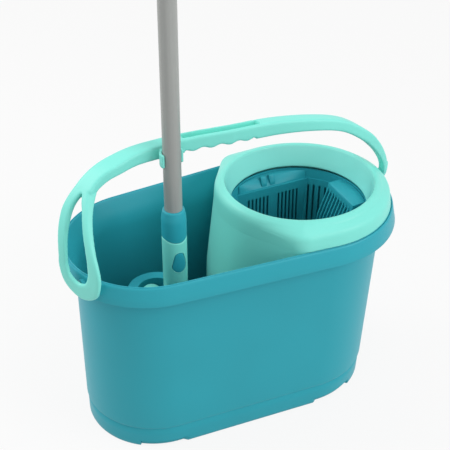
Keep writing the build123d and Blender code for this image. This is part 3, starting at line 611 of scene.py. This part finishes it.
floor_rows = [(8, 0), (3.5, -0.7), (1.2, -2.2), (0.2, -5), (0, -9)]
bucket_outside = [
    wall_row(0, -base_middle),
    *[wall_row(height, grow - band_inset) for height, grow in foot_rows],
    *[wall_row(band_height + rise, grow) for rise, grow in band_rows],
]
bucket_side = [wall_row(height, 0) for height in np.linspace(60, flare_height - 4, 10)]
bucket_skirt = [
    *[flare_row(flare_height + rise, grow) for rise, grow in under_rows],
    *[rim_row(skirt_roof + rise, grow) for rise, grow in roof_rows],
    *[rim_row(skirt_bottom + rise, grow) for rise, grow in skirt_rows],
    *[rim_row(rim_height + rise, grow) for rise, grow in crest_rows],
]
flare_heights = np.linspace(flare_height + 14, flare_height, 8)
ease_heights = np.linspace(flare_height - 2, flare_height - 14, 7)
wall_heights = np.linspace(flare_height - 22, band_height + 5, 9)
bucket_inside = [
    *[flare_row(rim_height - depth, 0) for depth in (2.5, 9)],
    *[rim_row(height, soft_flare(height) - flare_spread) for height in flare_heights],
    *[wall_row(height, soft_flare(height) - wall) for height in ease_heights],
    *[wall_row(height, -wall) for height in wall_heights],
    wall_row(band_height + 1.5, -wall),
    wall_row(band_height - 0.5, -wall - band_inset),
    *[wall_row(floor_thick + rise, grow - wall - band_inset) for rise, grow in floor_rows],
    wall_row(floor_thick, -floor_middle),
]
bucket_rows = bucket_outside + bucket_side + bucket_skirt + bucket_inside
bucket_grid = egg_rows(bucket_rows)
low_outside = np.zeros(bucket_grid.shape[:2], bool)
low_outside[: len(bucket_outside)] = bucket_grid[: len(bucket_outside), :, 2] < notch_height
for place in notch_places:
    beside = np.abs(bucket_grid[..., 0] - place) < notch_length / 2
    in_notch = low_outside & beside & (bucket_grid[..., 1] < notch_front)
    bucket_grid[..., 1] += np.where(in_notch, notch_depth, 0)


def pivot_boss(end, side):
    """A round boss on the handle's hinge line: rings along the line, drawn in at its free end."""
    along = end - side * np.array([boss_length, boss_edge, boss_bevel, 0])
    radius = boss_radius - np.array([0, 0, boss_bevel, boss_edge])
    angle = side * all_round(64)
    across = radius[:, None] * np.cos(angle)
    height = hinge_height + radius[:, None] * np.sin(angle)
    return set_out((handle_x, hinge_y), hinge_turn, along[:, None], across, height)


spindle_seat = turned(round_corners(seat_outline), basket_x, 0)
bucket_skins = [
    skin(bucket_grid),
    skin(pivot_boss(boss_ends[0], -1)),
    skin(pivot_boss(boss_ends[1], 1)),
    skin(spindle_seat),
]
piece("bucket_shell", "tub", "teal", teal, bucket_skins, ["bucket"], crease=50)

# Splash housing: a lip over the rim with the funnel turned into it, and a partition across the tub
round_angle = all_round(360)
facing = round_angle - pi


def reach(touch, angle):
    """Distance from an axis to a convex outline, in each direction.

    It is the least, over all facings, of the touching line's distance over the cosine between the two.
    """
    least = 0.05
    slant = np.cos(angle[:, None] - facing[None])
    return np.where(slant > least, touch[None] / np.maximum(slant, least), np.inf).min(axis=1)


def tub_touch(height, axis_x):
    """Touching lines of the tub's inside at a height, with a small gap, as distances from an axis."""
    on_flare = height > flare_height
    row = flare_row(height, -housing_gap) if on_flare else wall_row(height, -wall - housing_gap)
    left_x, left_r, right_x, right_r = row[:4]
    left = (left_x - axis_x) * np.cos(facing) + left_r
    right = (right_x - axis_x) * np.cos(facing) + right_r
    return np.maximum(left, right)


def housing_touch(right, left, corner, inset):
    """Touching lines of the housing's outline: the right arc's, the left arc's and two corner circles'."""
    turn = np.abs(facing)
    near = corner_angle - np.arccos((right - corner) / corner_reach)
    right_arc = (right - inset) * np.cos(np.maximum(turn - near, 0))
    corner_arcs = corner_reach * np.cos(turn - corner_angle) + corner - inset
    return np.maximum(np.maximum(right_arc, left - inset), corner_arcs)


def partition_touch(height, inset):
    """Touching lines of the partition's outline, whose left arc narrows on its way up."""
    left = np.interp(height, taper_heights, taper_radii)
    return housing_touch(partition_right, left, partition_corner, inset)


def partition_axis(height):
    """The partition leans: its axis moves out to the basket's above the bend."""
    return np.interp(height, (partition_bend[0], rim_height), (partition_bend[1], basket_x))


def housing_ring(height, axis_x, radius):
    """A level ring of points at each direction's distance from an axis."""
    return grid_of(axis_x + radius * np.cos(round_angle), radius * np.sin(round_angle), height)


def lip_ring(level, inset):
    """A ring of the lip at one of its levels."""
    rise, right, left, corner = level
    radius = reach(housing_touch(right, left, corner, inset), round_angle)
    return housing_ring(rim_height + rise - inset, basket_x, radius)


def shoulder_ring(height, inset):
    """A ring of the shoulder: the partition's outline, or the tub's flare where that is nearer."""
    axis_x = partition_axis(height)
    outline = reach(partition_touch(height, inset), round_angle)
    flare = reach(tub_touch(min(height, rim_height), axis_x), round_angle) - inset
    return housing_ring(height, axis_x, np.minimum(outline, flare))


def funnel_rings(profile):
    """Round rings of the funnel along a profile of (radius, height)."""
    return [housing_ring(height, basket_x, np.full_like(round_angle, radius)) for radius, height in profile]


lip_line = smooth_line(lip_levels, 40)
seat_ring = lip_ring(lip_foot, 0)
shoulder_top = shoulder_ring(rim_height + lip_seat, 0)
overhang = np.linalg.norm((seat_ring - shoulder_top)[:, :2], axis=1)
seat_ring[:, 2] += flush_rise * np.clip(1 - overhang, 0, 1)
lip_rings = [
    *[lip_ring(level, 0) for level in lip_line[::-1]],
    seat_ring,
    shoulder_top,
    *[shoulder_ring(height, 0) for height in shoulder_heights],
    shoulder_ring(shoulder_foot, shoulder_edge),
    shoulder_ring(shoulder_foot, housing_wall - shoulder_edge),
    *[shoulder_ring(height, housing_wall) for height in shoulder_heights[::-1]],
    shoulder_ring(rim_height + lip_seat + housing_wall, housing_wall),
    *[lip_ring(level, housing_wall) for level in lip_line[4:33:2]],
]
housing_rings = np.array(lip_rings + funnel_rings(funnel_face[::-1]))
over_rim = np.maximum(housing_rings[..., 2] - rim_height - lip_seat, 0)
housing_rings[..., 2] -= over_rim * back_drop * np.maximum(np.cos(round_angle - back_side), 0)


def partition_sheet(heights, columns=241):
    """The partition across the tub: its outline's arc, as wide at each height as the tub leaves room for.

    The arc runs to where the outline's distance from the axis first passes the tub's.
    """
    swing = np.linspace(0, pi, 721)
    rows = []
    for height in heights:
        axis_x = partition_axis(height)
        outline = partition_touch(height, 0)
        room = reach(tub_touch(height, axis_x), pi - swing) - reach(outline, pi - swing)
        half = swing[max(int(np.argmax(room < 0)) - 1, 1)]
        angle = pi + half * np.linspace(-1, 1, columns)
        proud = np.interp(height, (partition_bend[0], flare_height), (0, partition_proud))
        outer = reach(outline, angle) + proud
        inner = reach(partition_touch(height, housing_wall), angle)
        radius = np.concatenate([outer, inner[::-1]])
        angle = np.concatenate([angle, angle[::-1]])
        x, y = axis_x + radius * np.cos(angle), radius * np.sin(angle)
        in_drain = (np.abs(y[:, None] - np.array(drain_places)) < drain_width / 2).any(axis=1)
        lift = np.where(in_drain, np.maximum(height, floor_thick + drain_height), height)
        rows.append(grid_of(x, y, lift))
    return np.array(rows)


partition_heights = [
    floor_thick + 0.1,
    floor_thick + drain_height,
    *np.linspace(28, partition_bend[0] - 6, 14),
    *np.linspace(partition_bend[0], flare_height - 4, 10),
    *np.linspace(flare_height, rim_height, 12),
]
housing_skins = [
    skin(housing_rings, rows_closed=True),
    skin(partition_sheet(partition_heights)),
]
housing = piece("splash_housing", "tub", "mint", mint, housing_skins, ["housing"], crease=45)


def finish_faces(obj, material, chosen):
    """Give a second finish to the faces that a rule on their middles chooses."""
    middles = np.empty(len(obj.data.polygons) * 3)
    obj.data.polygons.foreach_get("center", middles)
    obj.data.materials.append(material)
    marked = chosen(middles.reshape(-1, 3) / MM)
    obj.data.polygons.foreach_set("material_index", marked.astype(np.int32))


def on_funnel(middle):
    """The funnel's face: above the mouth and nearer to the axis than the crest."""
    radius = np.hypot(middle[:, 0] - basket_x, middle[:, 1])
    return (radius < funnel_crest) & (middle[:, 2] > funnel_mouth)


# The funnel's face gets the glossier mint, whose lighter colour is painted light
finish_faces(housing, polished_mint_painted_light, on_funnel)

# Details of the spin basket: rounded caps over the finned ramps, and the ledges with their catch ribs
def ramp_cap(side, columns=40):
    """A cap over a ramp: a profile that curls over its edge, carried across, cut by the basket's round."""
    curl = round_corners(ramp_curl, steps=8)
    y = np.linspace(-ramp_half, ramp_half, columns)[:, None]
    round_end = np.sqrt(basket_round**2 - y**2)
    drop = ramp_drop * np.abs(y / ramp_half) ** 4
    x = np.minimum(curl[:, 0][None], round_end)
    return grid_of(basket_x + side * x, y, curl[:, 1][None] - drop)


def ledge_cover(side, columns=60, rows=16):
    """A ledge between a flat wall and the basket's ring: it swells from the wall's top up to the ring."""
    x = np.linspace(-ledge_half, ledge_half, columns)[:, None]
    ring_y = np.sqrt(basket_round**2 - x**2)
    share = np.linspace(0, 1, rows)[None]
    y = ledge_wall + (ring_y - ledge_wall) * share
    swell = ledge_low + ledge_swell * (1 - (1 - share) ** 2.2)
    upper = grid_of(basket_x + x, side * y, swell)
    under = grid_of(basket_x + x, side * y[:, ::-1], ledge_low - ledge_thick)
    return np.concatenate([upper, under], axis=1)


def catch_rib(x, side):
    """A triangular rib on a ledge, carried across its thickness with softened edges."""
    outline = round_corners(rib_outline, closed=True)
    middle = outline.mean(axis=0)
    across = np.array([-rib_half, rib_edge - rib_half, rib_half - rib_edge, rib_half])[:, None]
    shrink = np.array([rib_shrink, 1, 1, rib_shrink])[:, None]
    y = middle[0] + (outline[:, 0] - middle[0])[None] * shrink
    z = middle[1] + (outline[:, 1] - middle[1])[None] * shrink
    return grid_of(basket_x + x + across, side * y, z)


basket_details = [
    *[skin(ramp_cap(side)) for side in (-1, 1)],
    *[skin(ledge_cover(side)) for side in (-1, 1)],
    *[skin(catch_rib(x, side)) for side in (-1, 1) for x in rib_places],
]
piece("basket_ledges", "basket", "teal", teal, basket_details, crease=45)

# Pole and its fittings, turned on the pole's axis
pole_angle = all_round(96)


def tube_profile(outer, inner, bottom, top, edge=0.3):
    """Closed outline of a plain tube's wall, with its edges rounded."""
    corners = [(outer, bottom, edge), (outer, top, edge), (inner, top, edge), (inner, bottom, edge)]
    return round_corners(corners, closed=True)


def pole_piece(name, body, slot, material, profile, nodes, wave=None):
    """A turned piece on the pole: wave gives how far its outside stands off at an angle and a height."""
    grid = turned(profile, 0, 0, len(pole_angle))
    if wave is not None:
        shift = wave(pole_angle[None], grid[..., 2]) * (np.asarray(profile)[:, :1] > least_waved)
        grid[..., 0] += shift * np.cos(pole_angle)
        grid[..., 1] += shift * np.sin(pole_angle)
    grid += (pole_x, pole_y, 0)
    return piece(name, body, slot, material, [skin(grid, rows_closed=True)], nodes, crease=40)


def fade_at_ends(height, ends):
    """1 between two heights, falling evenly to 0 at each of them."""
    low, high = ends
    return np.clip((height - low) / wave_fade, 0, 1) * np.clip((high - height) / wave_fade, 0, 1)


def finger_flutes(angle, height):
    """Flutes along the twist sleeve that fade out at both ends."""
    return -flute_depth * fade_at_ends(height, flute_ends) * np.maximum(np.cos(flutes * angle), 0)


def grip_rings(angle, height):
    """Rings round the grip, the same at every angle, that fade out at both ends."""
    wave = 0.5 + 0.5 * np.cos(height * tau / ring_pitch)
    return -ring_depth * fade_at_ends(height, ring_ends) * wave


sleeve_foot = [
    (sleeve_bores[0], sleeve_bottom, 0),
    (14.4, sleeve_bottom, 0.8),
    (sleeve_radius, sleeve_bottom + 4, 2),
    (sleeve_radius, sleeve_bottom + 7, 1),
]
sleeve_head = [
    (sleeve_radius, sleeve_top - 22, 1),
    (12.5, sleeve_top, 1.2),
    (sleeve_bores[1], sleeve_top, 0.3),
    (sleeve_bores[1], sleeve_step, 0.2),
    (sleeve_bores[0], sleeve_step, 0),
]
sleeve_profile = [
    *round_corners(sleeve_foot),
    *[(sleeve_radius, height) for height in np.linspace(flute_ends[0], flute_ends[1] + 1, 30)],
    *round_corners(sleeve_head),
]
grip_foot = [
    (grip_bore, grip_bottom, 0),
    (12.4, grip_bottom, 0.6),
    (grip_radius, grip_bottom + 3, 1.5),
    (grip_radius, grip_bottom + 7, 1),
]
grip_head = [(grip_radius, ring_ends[1] + 2, 1), (grip_radius, grip_top, 0.4), (grip_bore, grip_top, 0)]
grip_profile = [
    *round_corners(grip_foot),
    *[(grip_radius, height) for height in np.linspace(*ring_ends, 95)],
    *round_corners(grip_head),
]
cap_skirt = [
    (0.01, cap_seat, 0),
    (9.9, cap_seat, 0.3),
    (9.9, cap_bottom, 0.2),
    (grip_radius - 0.3, cap_bottom, 0.4),
    (grip_radius, cap_bottom + 2.9, 0.5),
]
dome = np.linspace(0, pi / 2, 14)
cap_dome = np.column_stack([grip_radius * np.cos(dome), dome_bottom + dome_rise * np.sin(dome)])
cap_profile = [*round_corners(cap_skirt), *cap_dome]
lower_profile = tube_profile(*lower_tube)
upper_profile = tube_profile(*upper_tube)
pole_piece("lower_pole_tube", "pole", "pole_grey", pole_paint, lower_profile, ["lower_tube"])
pole_piece("upper_pole_tube", "upper_pole", "pole_grey", pole_paint, upper_profile, ["upper_tube"])
pole_piece("twist_sleeve", "lock_sleeve", "teal", teal, sleeve_profile, ["lock_sleeve"], finger_flutes)
pole_piece("ribbed_grip", "upper_pole", "grip_teal", grip_teal, grip_profile, ["hand_grip"], grip_rings)
pole_piece("domed_cap", "upper_pole", "teal", teal, cap_profile, ["end_cap"])


def saddle_height(angle):
    """Height of the seam between collar and shell: a round saddle that dips at the front and the back."""
    seam_radius = (shell_radius**2 + seam_rise**2) / (2 * seam_rise)
    across = shell_radius * np.cos(angle)
    return seam_low + seam_radius - np.sqrt(seam_radius**2 - across**2)


def collar_grid(columns=128):
    """The collar: its foot follows the saddle and fades to level rings under the tapered neck."""
    profile = round_corners(
        [
            (collar_bore, seam_low, 0),
            (shell_radius - 0.6, seam_low, 0.4),
            (shell_radius, seam_low + 1, 0.6),
            (shell_radius, collar_shoulder, 3),
            (14.8, collar_top - 1, 1.6),
            (collar_bore, collar_top, 0.2),
            (collar_bore, seam_low + 6, 0),
        ],
        steps=6,
    )
    angle = all_round(columns)
    grid = turned(profile, pole_x, pole_y, columns)
    fade = np.clip((collar_shoulder - grid[..., 2]) / (collar_shoulder - seam_low), 0, 1)
    grid[..., 2] += (saddle_height(angle)[None] - seam_low) * fade
    return grid


piece("pole_collar", "pole", "teal", teal, [skin(collar_grid(), rows_closed=True)], ["collar"], crease=40)


def out_of_egg(x, z):
    """How far a point of the shell's front lies outside the button's egg: the greatest over all facings."""
    lean = all_round(72)
    low = button_low[0] * np.cos(lean) + button_low[1]
    high = button_high[0] * np.cos(lean) + button_high[1]
    touch = np.maximum(low, high)
    return (x[..., None] * np.sin(lean) + z[..., None] * np.cos(lean) - touch).max(axis=-1)


def shell_grid(columns=300):
    """The joint's shell: a round wall up to the saddle, with the button's pocket sunk into its front.

    Each row stands at a share of the way from the foot to the saddle, and rows are close by the pocket.
    """
    angle = all_round(columns)
    below, around = np.linspace(0, 0.26, 12), np.linspace(0.265, 0.85, 130)
    above = np.linspace(0.86, 0.978, 12)
    foot = shell_bottom + shell_edge
    profile = [
        (shell_bore, 0.0, shell_bottom),
        (shell_radius - 0.8, 0.0, shell_bottom),
        *[(shell_radius, share, foot) for share in (*below, *around, *above)],
        (shell_radius - 0.15, 0.984, foot),
        (shell_radius - 1.0, 0.998, foot),
        (shell_radius - 1.7, 0.998, foot),
        (shell_radius - 2.0, 0.985, foot),
        (shell_bore, 0.9, foot),
    ]
    radius, share, low = np.array(profile).T[:, :, None]
    top = saddle_height(angle)[None] - seam_gap
    z = low + (top - low) * share
    x = radius * np.cos(angle)
    outside = out_of_egg(x, z)
    sunk = np.clip(0.5 - (outside - pocket_edge) / pocket_slope, 0, 1)
    bead = np.exp(-(((outside - bead_place) / bead_width) ** 2))
    on_front = (np.sin(angle) < 0) * (radius > shell_radius - 0.01)
    radius = radius + on_front * (pocket_bead * bead - pocket_depth * sunk)
    return grid_of(pole_x + radius * np.cos(angle), pole_y + radius * np.sin(angle), z)


def shell_cheek(side):
    """A cheek under the shell for the joint's upper pin: an oblong with a rounded foot, carried across."""
    sweep = np.linspace(0, pi, 24)
    outline = np.column_stack([cheek_half * np.cos(sweep), upper_pin - cheek_half * np.sin(sweep)])
    outline = np.vstack([[cheek_half, cheek_top], outline, [-cheek_half, cheek_top]])
    inner, outer = cheek_sides
    out = side * np.array([inner, inner + cheek_edge, outer - cheek_edge, outer])[:, None]
    across = outline[:, 0] * np.array([cheek_shrink, 1, 1, cheek_shrink])[:, None]
    return set_out((pole_x, pole_y), hinge_turn, out, across, outline[:, 1])


shell_skins = [skin(shell_grid(), rows_closed=True), skin(shell_cheek(-1)), skin(shell_cheek(1))]
piece("joint_shell", "pole", "mint", mint, shell_skins, ["joint_housing"], crease=50)


def button_grid(rows=14, columns=96):
    """The release button: its egg shrinks row by row over a dome that follows the shell's round."""
    angle = all_round(columns)
    low_z, low_r = button_low
    high_z, high_r = button_high
    touch = np.arccos((low_r - high_r) / (high_z - low_z))
    upper = np.abs((angle + pi) % tau - pi) < touch
    centre = np.where(upper, high_z, low_z)
    radius = np.where(upper, high_r, low_r)
    up, side = centre + radius * np.cos(angle), radius * np.sin(angle)
    middle = (low_z + high_z) / 2
    share = np.concatenate([[1, 1, 0.985], np.linspace(0.95, 0, rows)])[:, None]
    drop = np.concatenate([[8.0, 1.2, 0.5], 0.45 * np.linspace(0.95, 0, rows) ** 6])[:, None]
    x, z = side[None] * share, middle + (up[None] - middle) * share
    y = -np.sqrt((shell_radius + button_proud) ** 2 - x**2) + drop
    return grid_of(pole_x + x, pole_y + y, z)


piece("egg_button", "release_button", "teal", teal, [skin(button_grid())], ["release_button"], crease=50)

# Mop covers: crowned pads of microfibre pile
pile = np.random.default_rng(7)


def pile_pad(rows=90, columns=360):
    """A crowned pad: a rounded oblong, drawn in between its corners, that swells towards its middle.

    Tufts are waves of seeded direction and phase added to the distance from the middle plane.
    """
    around = all_round(columns)[None]
    down = np.linspace(0, pi, rows)[:, None]
    wide = np.sign(np.cos(around)) * np.abs(np.cos(around)) ** cover_square
    tall = np.sign(np.sin(around)) * np.abs(np.sin(around)) ** cover_square
    shrink = np.sin(down) ** cover_edge
    across = cover_half[0] * wide * shrink * (1 - cover_waist * np.cos(tall * pi / 2))
    along = cover_half[1] * tall * shrink * (1 - cover_waist * np.cos(wide * pi / 2))
    crown = np.cos(down) * (1 - cover_swell + cover_swell * np.sin(down))
    tufts = np.zeros((rows, columns))
    for _ in range(tuft_waves):
        heading, phase = pile.uniform(0, tau, 2)
        length = pile.uniform(*tuft_lengths)
        tufts += np.sin((across * cos(heading) + along * sin(heading)) * tau / length + phase)
    off_edge = np.sign(crown) * np.minimum(np.abs(crown) * 3, 1)
    thick = (cover_half[2] - pile_room) * crown + tuft_height * tufts * off_edge
    return grid_of(across, along, thick)


def stand_on_head(grid, shift):
    """Pad points (across, up, out) put on the mop head's direction, shifted out from the pole."""
    across, up, out = np.moveaxis(grid, -1, 0)
    return set_out((pole_x, pole_y), head_turn, out + shift, across, up + cover_height)


for side_name, shift in cover_out.items():
    pad = skin(stand_on_head(pile_pad(), shift))
    node = f"mop_cover_{side_name}"
    cover = piece("pile_" + node, f"wing_{side_name}", "microfibre", microfibre, [pad], [node], crease=80)

# Carry handle: a bar along the arch, a loop at the left end, a hook at the right one and the pole's clip
def arch_at(along, profile):
    """Height of an arch profile at a distance along it."""
    line = smooth_line(profile, 400)[::-1]
    return np.interp(np.abs(along), line[:, 0], line[:, 1])


def arch_out(height, profile):
    """Distance from the middle of an arch profile at a height on its side."""
    line = smooth_line(profile, 400)
    return np.interp(height, np.maximum.accumulate(line[:, 1]), line[:, 0])


def bar_section():
    """A rounded square from 0 to 1, across and up, with extra points along its top for the channel."""
    steps = 7
    section = rounded_square(bar_rounding, steps)
    flat = np.linspace(0.78, 0.22, 16)
    extra = np.column_stack([flat, np.ones_like(flat)])
    section = np.vstack([section[: 3 * steps], extra, section[3 * steps :]])
    return section[:, 0][None], section[:, 1][None]


def bar_height(x, under, top, across, up):
    """Height in the bar: finger bumps wave its underside, and the channel is sunk into its top."""
    finger = (x - finger_middle) / finger_pitch
    bumps = finger_depth * (0.5 + 0.5 * np.cos(finger * tau)) * (np.abs(finger) < fingers / 2)
    along_channel = np.abs(x - channel_middle) < channel_half
    in_channel = along_channel & (np.abs(across - channel_across) < channel_share) & (up > 0.99)
    return under + (top - under) * up + bumps * (1 - up) - np.where(in_channel, channel_depth, 0)


def left_bar(stations=170):
    """The left half of the bar: a rounded section between its edges from above and the arch's profiles."""
    back_line, front_line = smooth_line(left_back, stations), smooth_line(left_front, stations)
    across, up = bar_section()
    x = front_line[:, :1] + (back_line[:, :1] - front_line[:, :1]) * across
    y = front_line[:, 1:] + (back_line[:, 1:] - front_line[:, 1:]) * across
    along = (x - handle_x) * cos(left_turn) + y * sin(left_turn)
    height = bar_height(x, arch_at(along, left_inner), arch_at(along, left_outer), across, up)
    return grid_of(x, y, height)


def right_bar(stations=170):
    """The right half: the section goes down the arch station by station and narrows to a strap."""
    outer, inner = smooth_line(right_outer, stations), smooth_line(right_inner, stations)
    edges = smooth_line(np.column_stack([right_front, right_back]), stations)
    across, up = bar_section()
    v = edges[:, :1] + (edges[:, 1:] - edges[:, :1]) * across
    along = inner[:, :1] + (outer[:, :1] - inner[:, :1]) * up
    on_fingers = np.clip((finger_end - along) / finger_fade, 0, 1)
    plain = inner[:, 1:] + (outer[:, 1:] - inner[:, 1:]) * up
    bar = set_out((handle_x, 0), right_turn, along, v, plain)
    gripped = bar_height(bar[..., 0], inner[:, 1:], outer[:, 1:], across, up)
    bar[..., 2] += (gripped - plain) * on_fingers
    return bar


def left_loop(columns=180):
    """The left loop: a band between its outline and its window, laid on the arch's two profiles."""
    rim = smooth_line(loop_outline + loop_outline[:1], columns + 1)[:-1]
    hole = smooth_line(window_outline + window_outline[:1], columns + 1)[:-1]
    section = rounded_square(loop_rounding, steps=6)
    across, out = section[:, 0][:, None], section[:, 1][:, None]
    v, z = np.moveaxis(rim[None] + (hole - rim)[None] * across[..., None], -1, 0)
    inner, outer = arch_out(z, left_inner), arch_out(z, left_outer)
    return set_out((handle_x, 0), left_turn, -inner - (outer - inner) * out, v, z)


def right_hook(stations=60):
    """The strap's foot: it bends round to the pivot and ends in a half round eye."""
    line = smooth_line(hook_line, stations)
    turn = np.linspace(*eye_sweep, 12)
    end_v, end_z, end_half = hook_line[-1]
    level = np.full_like(turn, end_z)
    eye = np.column_stack([end_v + end_half * np.sin(turn), level, end_half * np.cos(turn)])
    line = np.vstack([line, eye])
    ahead = np.gradient(line[:, :2], axis=0)
    ahead /= np.linalg.norm(ahead, axis=1)[:, None]
    aside = np.column_stack([-ahead[:, 1], ahead[:, 0]]) * line[:, 2:]
    section = round_corners([(-1, 0, 0.5), (1, 0, 0.5), (1, 1, 0.25), (-1, 1, 0.25)], closed=True, steps=5)
    across, out = section[:, 0][None], section[:, 1][None]
    v = line[:, :1] + aside[:, :1] * across
    z = line[:, 1:2] + aside[:, 1:] * across
    along = hook_sheet[0] + (hook_sheet[1] - hook_sheet[0]) * out
    return set_out((handle_x, 0), right_turn, along, v, z)


def clip_jaws():
    """The clip for the pole: a U from above, open to the front, carried up."""
    sweep = np.linspace(0, pi, 40)
    arc = np.column_stack([np.cos(sweep), np.sin(sweep)])
    outline = np.vstack(
        [
            [clip_inside, -clip_reach],
            clip_inside * arc,
            [-clip_inside, -clip_reach],
            [-clip_outside, -clip_reach],
            clip_outside * arc[::-1],
            [clip_outside, -clip_reach],
        ]
    )
    heights = np.linspace(*clip_heights, 5)[:, None]
    return set_out((pole_x, pole_y), hinge_turn, outline[:, 0], outline[:, 1], heights)


handle_skins = [
    skin(left_bar()),
    skin(right_bar()),
    skin(left_loop(), rows_closed=True),
    skin(right_hook()),
    skin(clip_jaws()),
]
one_skin = {"crease": 60, "voxel": 1.2, "smoothing": 4}
piece("arched_handle", "carry_handle", "mint", mint, handle_skins, ["carry_handle"], **one_skin)

# Every other node keeps its CAD shape, with its edges rounded off
slot_of = {row["node"]: row["material_slot"] for row in frame["record"]["subparts"]}
slot_looks = {
    "teal": teal,
    "mint": mint,
    "white_plastic": white_plastic,
    "wing_plastic": grey_plastic,
    "grip_teal": grip_teal,
    "pole_grey": pole_paint,
    "steel": steel,
    "microfibre": microfibre,
}


def welded_copy(node):
    """Points and faces of a CAD node with its corners welded and its flat faces joined."""
    shape = bmesh.new()
    shape.from_mesh(frame["nodes"][node].data)
    bmesh.ops.remove_doubles(shape, verts=shape.verts, dist=node_weld * MM)
    bmesh.ops.dissolve_limit(shape, angle_limit=radians(0.4), verts=shape.verts, edges=shape.edges)
    shape.verts.index_update()
    points = np.array([vertex.co for vertex in shape.verts]) / MM
    faces = [[vertex.index for vertex in face.verts] for face in shape.faces]
    shape.free()
    return points, faces


def recast(node, edge):
    """A CAD node as a finished piece, with its edges rounded off."""
    body, slot = frame["nodes"][node]["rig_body"], slot_of[node]
    made = piece(node + "_finished", body, slot, slot_looks[slot], [welded_copy(node)], [node])
    rounding = made.modifiers.new("rounded_edges", "BEVEL")
    rounding.width = edge * MM
    rounding.segments = 2
    rounding.limit_method = "ANGLE"
    rounding.angle_limit = radians(40)


replaced = {node for made in bpy.data.objects for node in made.get("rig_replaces", [])}
for node in sorted(set(frame["nodes"]) - replaced):
    recast(node, edge_of.get(node, plain_edge))


def aim(obj, place, target):
    """Put a camera or a lamp into the scene at a place, looking at a target."""
    obj.location = Vector(place) * MM
    obj.rotation_mode = "QUATERNION"
    obj.rotation_quaternion = (Vector(target) - Vector(place)).to_track_quat("-Z", "Y")
    bpy.context.scene.collection.objects.link(obj)


def photo_camera():
    """The photo's camera: its place, target and lens."""
    data = bpy.data.cameras.new("photo_camera")
    data.lens = camera_lens
    data.sensor_width = camera_film
    data.clip_end = camera_far * MM
    camera = bpy.data.objects.new("photo_camera", data)
    aim(camera, camera_place, camera_target)
    bpy.context.scene.camera = camera


def soft_light(name, place, target, size, power):
    """A square soft box aimed at a point."""
    data = bpy.data.lights.new(name, "AREA")
    data.shape = "SQUARE"
    data.size = size * MM
    data.energy = power
    aim(bpy.data.objects.new(name, data), place, target)


def greater_of(nodes, links, first, second):
    """A socket that gives the greater of two sockets."""
    greater = nodes.new("ShaderNodeMath")
    greater.operation = "MAXIMUM"
    links.new(first, greater.inputs[0])
    links.new(second, greater.inputs[1])
    return greater.outputs["Value"]


def seen_directly(nodes, links):
    """A socket that is 1 for what the camera sees straight, mirrored or through something clear."""
    path = nodes.new("ShaderNodeLightPath").outputs
    mirrored = greater_of(nodes, links, path["Is Glossy Ray"], path["Is Transmission Ray"])
    return greater_of(nodes, links, path["Is Camera Ray"], mirrored)


def mix_shaders(nodes, links, share, first, second, surface):
    """Join two shaders by a share of the second, on the way to a surface."""
    mix = nodes.new("ShaderNodeMixShader")
    links.new(share, mix.inputs["Fac"])
    links.new(first, mix.inputs[1])
    links.new(second, mix.inputs[2])
    links.new(mix.outputs["Shader"], surface)


def white_room(level):
    """A world that the camera sees as white and that lights the object with an even pale level."""
    world = bpy.data.worlds.new("white_room")
    nodes, links, surface = empty_tree(world, "ShaderNodeOutputWorld")
    fill, seen = nodes.new("ShaderNodeBackground"), nodes.new("ShaderNodeBackground")
    for background in (fill, seen):
        background.inputs["Color"].default_value = (1, 1, 1, 1)
    fill.inputs["Strength"].default_value = level
    share = seen_directly(nodes, links)
    mix_shaders(nodes, links, share, fill.outputs["Background"], seen.outputs["Background"], surface)
    bpy.context.scene.world = world


def white_floor(half):
    """A white floor that keeps a faint shadow: most of what the camera sees of it is plain white."""
    mesh = bpy.data.meshes.new("floor")
    corners = np.array([(-1, -1, 0), (1, -1, 0), (1, 1, 0), (-1, 1, 0)]) * half * MM
    mesh.from_pydata(corners.tolist(), [], [(0, 1, 2, 3)])
    floor = bpy.data.objects.new("floor", mesh)
    bpy.context.scene.collection.objects.link(floor)
    material = bpy.data.materials.new("white_floor")
    nodes, links, surface = empty_tree(material, "ShaderNodeOutputMaterial")
    plain = nodes.new("ShaderNodeMath")
    plain.operation = "MULTIPLY"
    plain.inputs[1].default_value = floor_plain
    links.new(seen_directly(nodes, links), plain.inputs[0])
    paint = nodes.new("ShaderNodeBsdfDiffuse")
    paint.inputs["Color"].default_value = floor_grey
    glow = nodes.new("ShaderNodeEmission")
    share = plain.outputs["Value"]
    mix_shaders(nodes, links, share, paint.outputs["BSDF"], glow.outputs["Emission"], surface)
    mesh.materials.append(material)


photo_camera()
white_room(room_level)
soft_light("key_right", (1300, -1700, 1300), light_target, size=1300, power=21)
soft_light("back_left", (-1000, 800, 1400), light_target, size=900, power=13)
soft_light("over_basket", (250, -500, 1700), (basket_x, 0, 300), size=500, power=3)
white_floor(floor_half)
bpy.context.scene.view_settings.view_transform = "Standard"
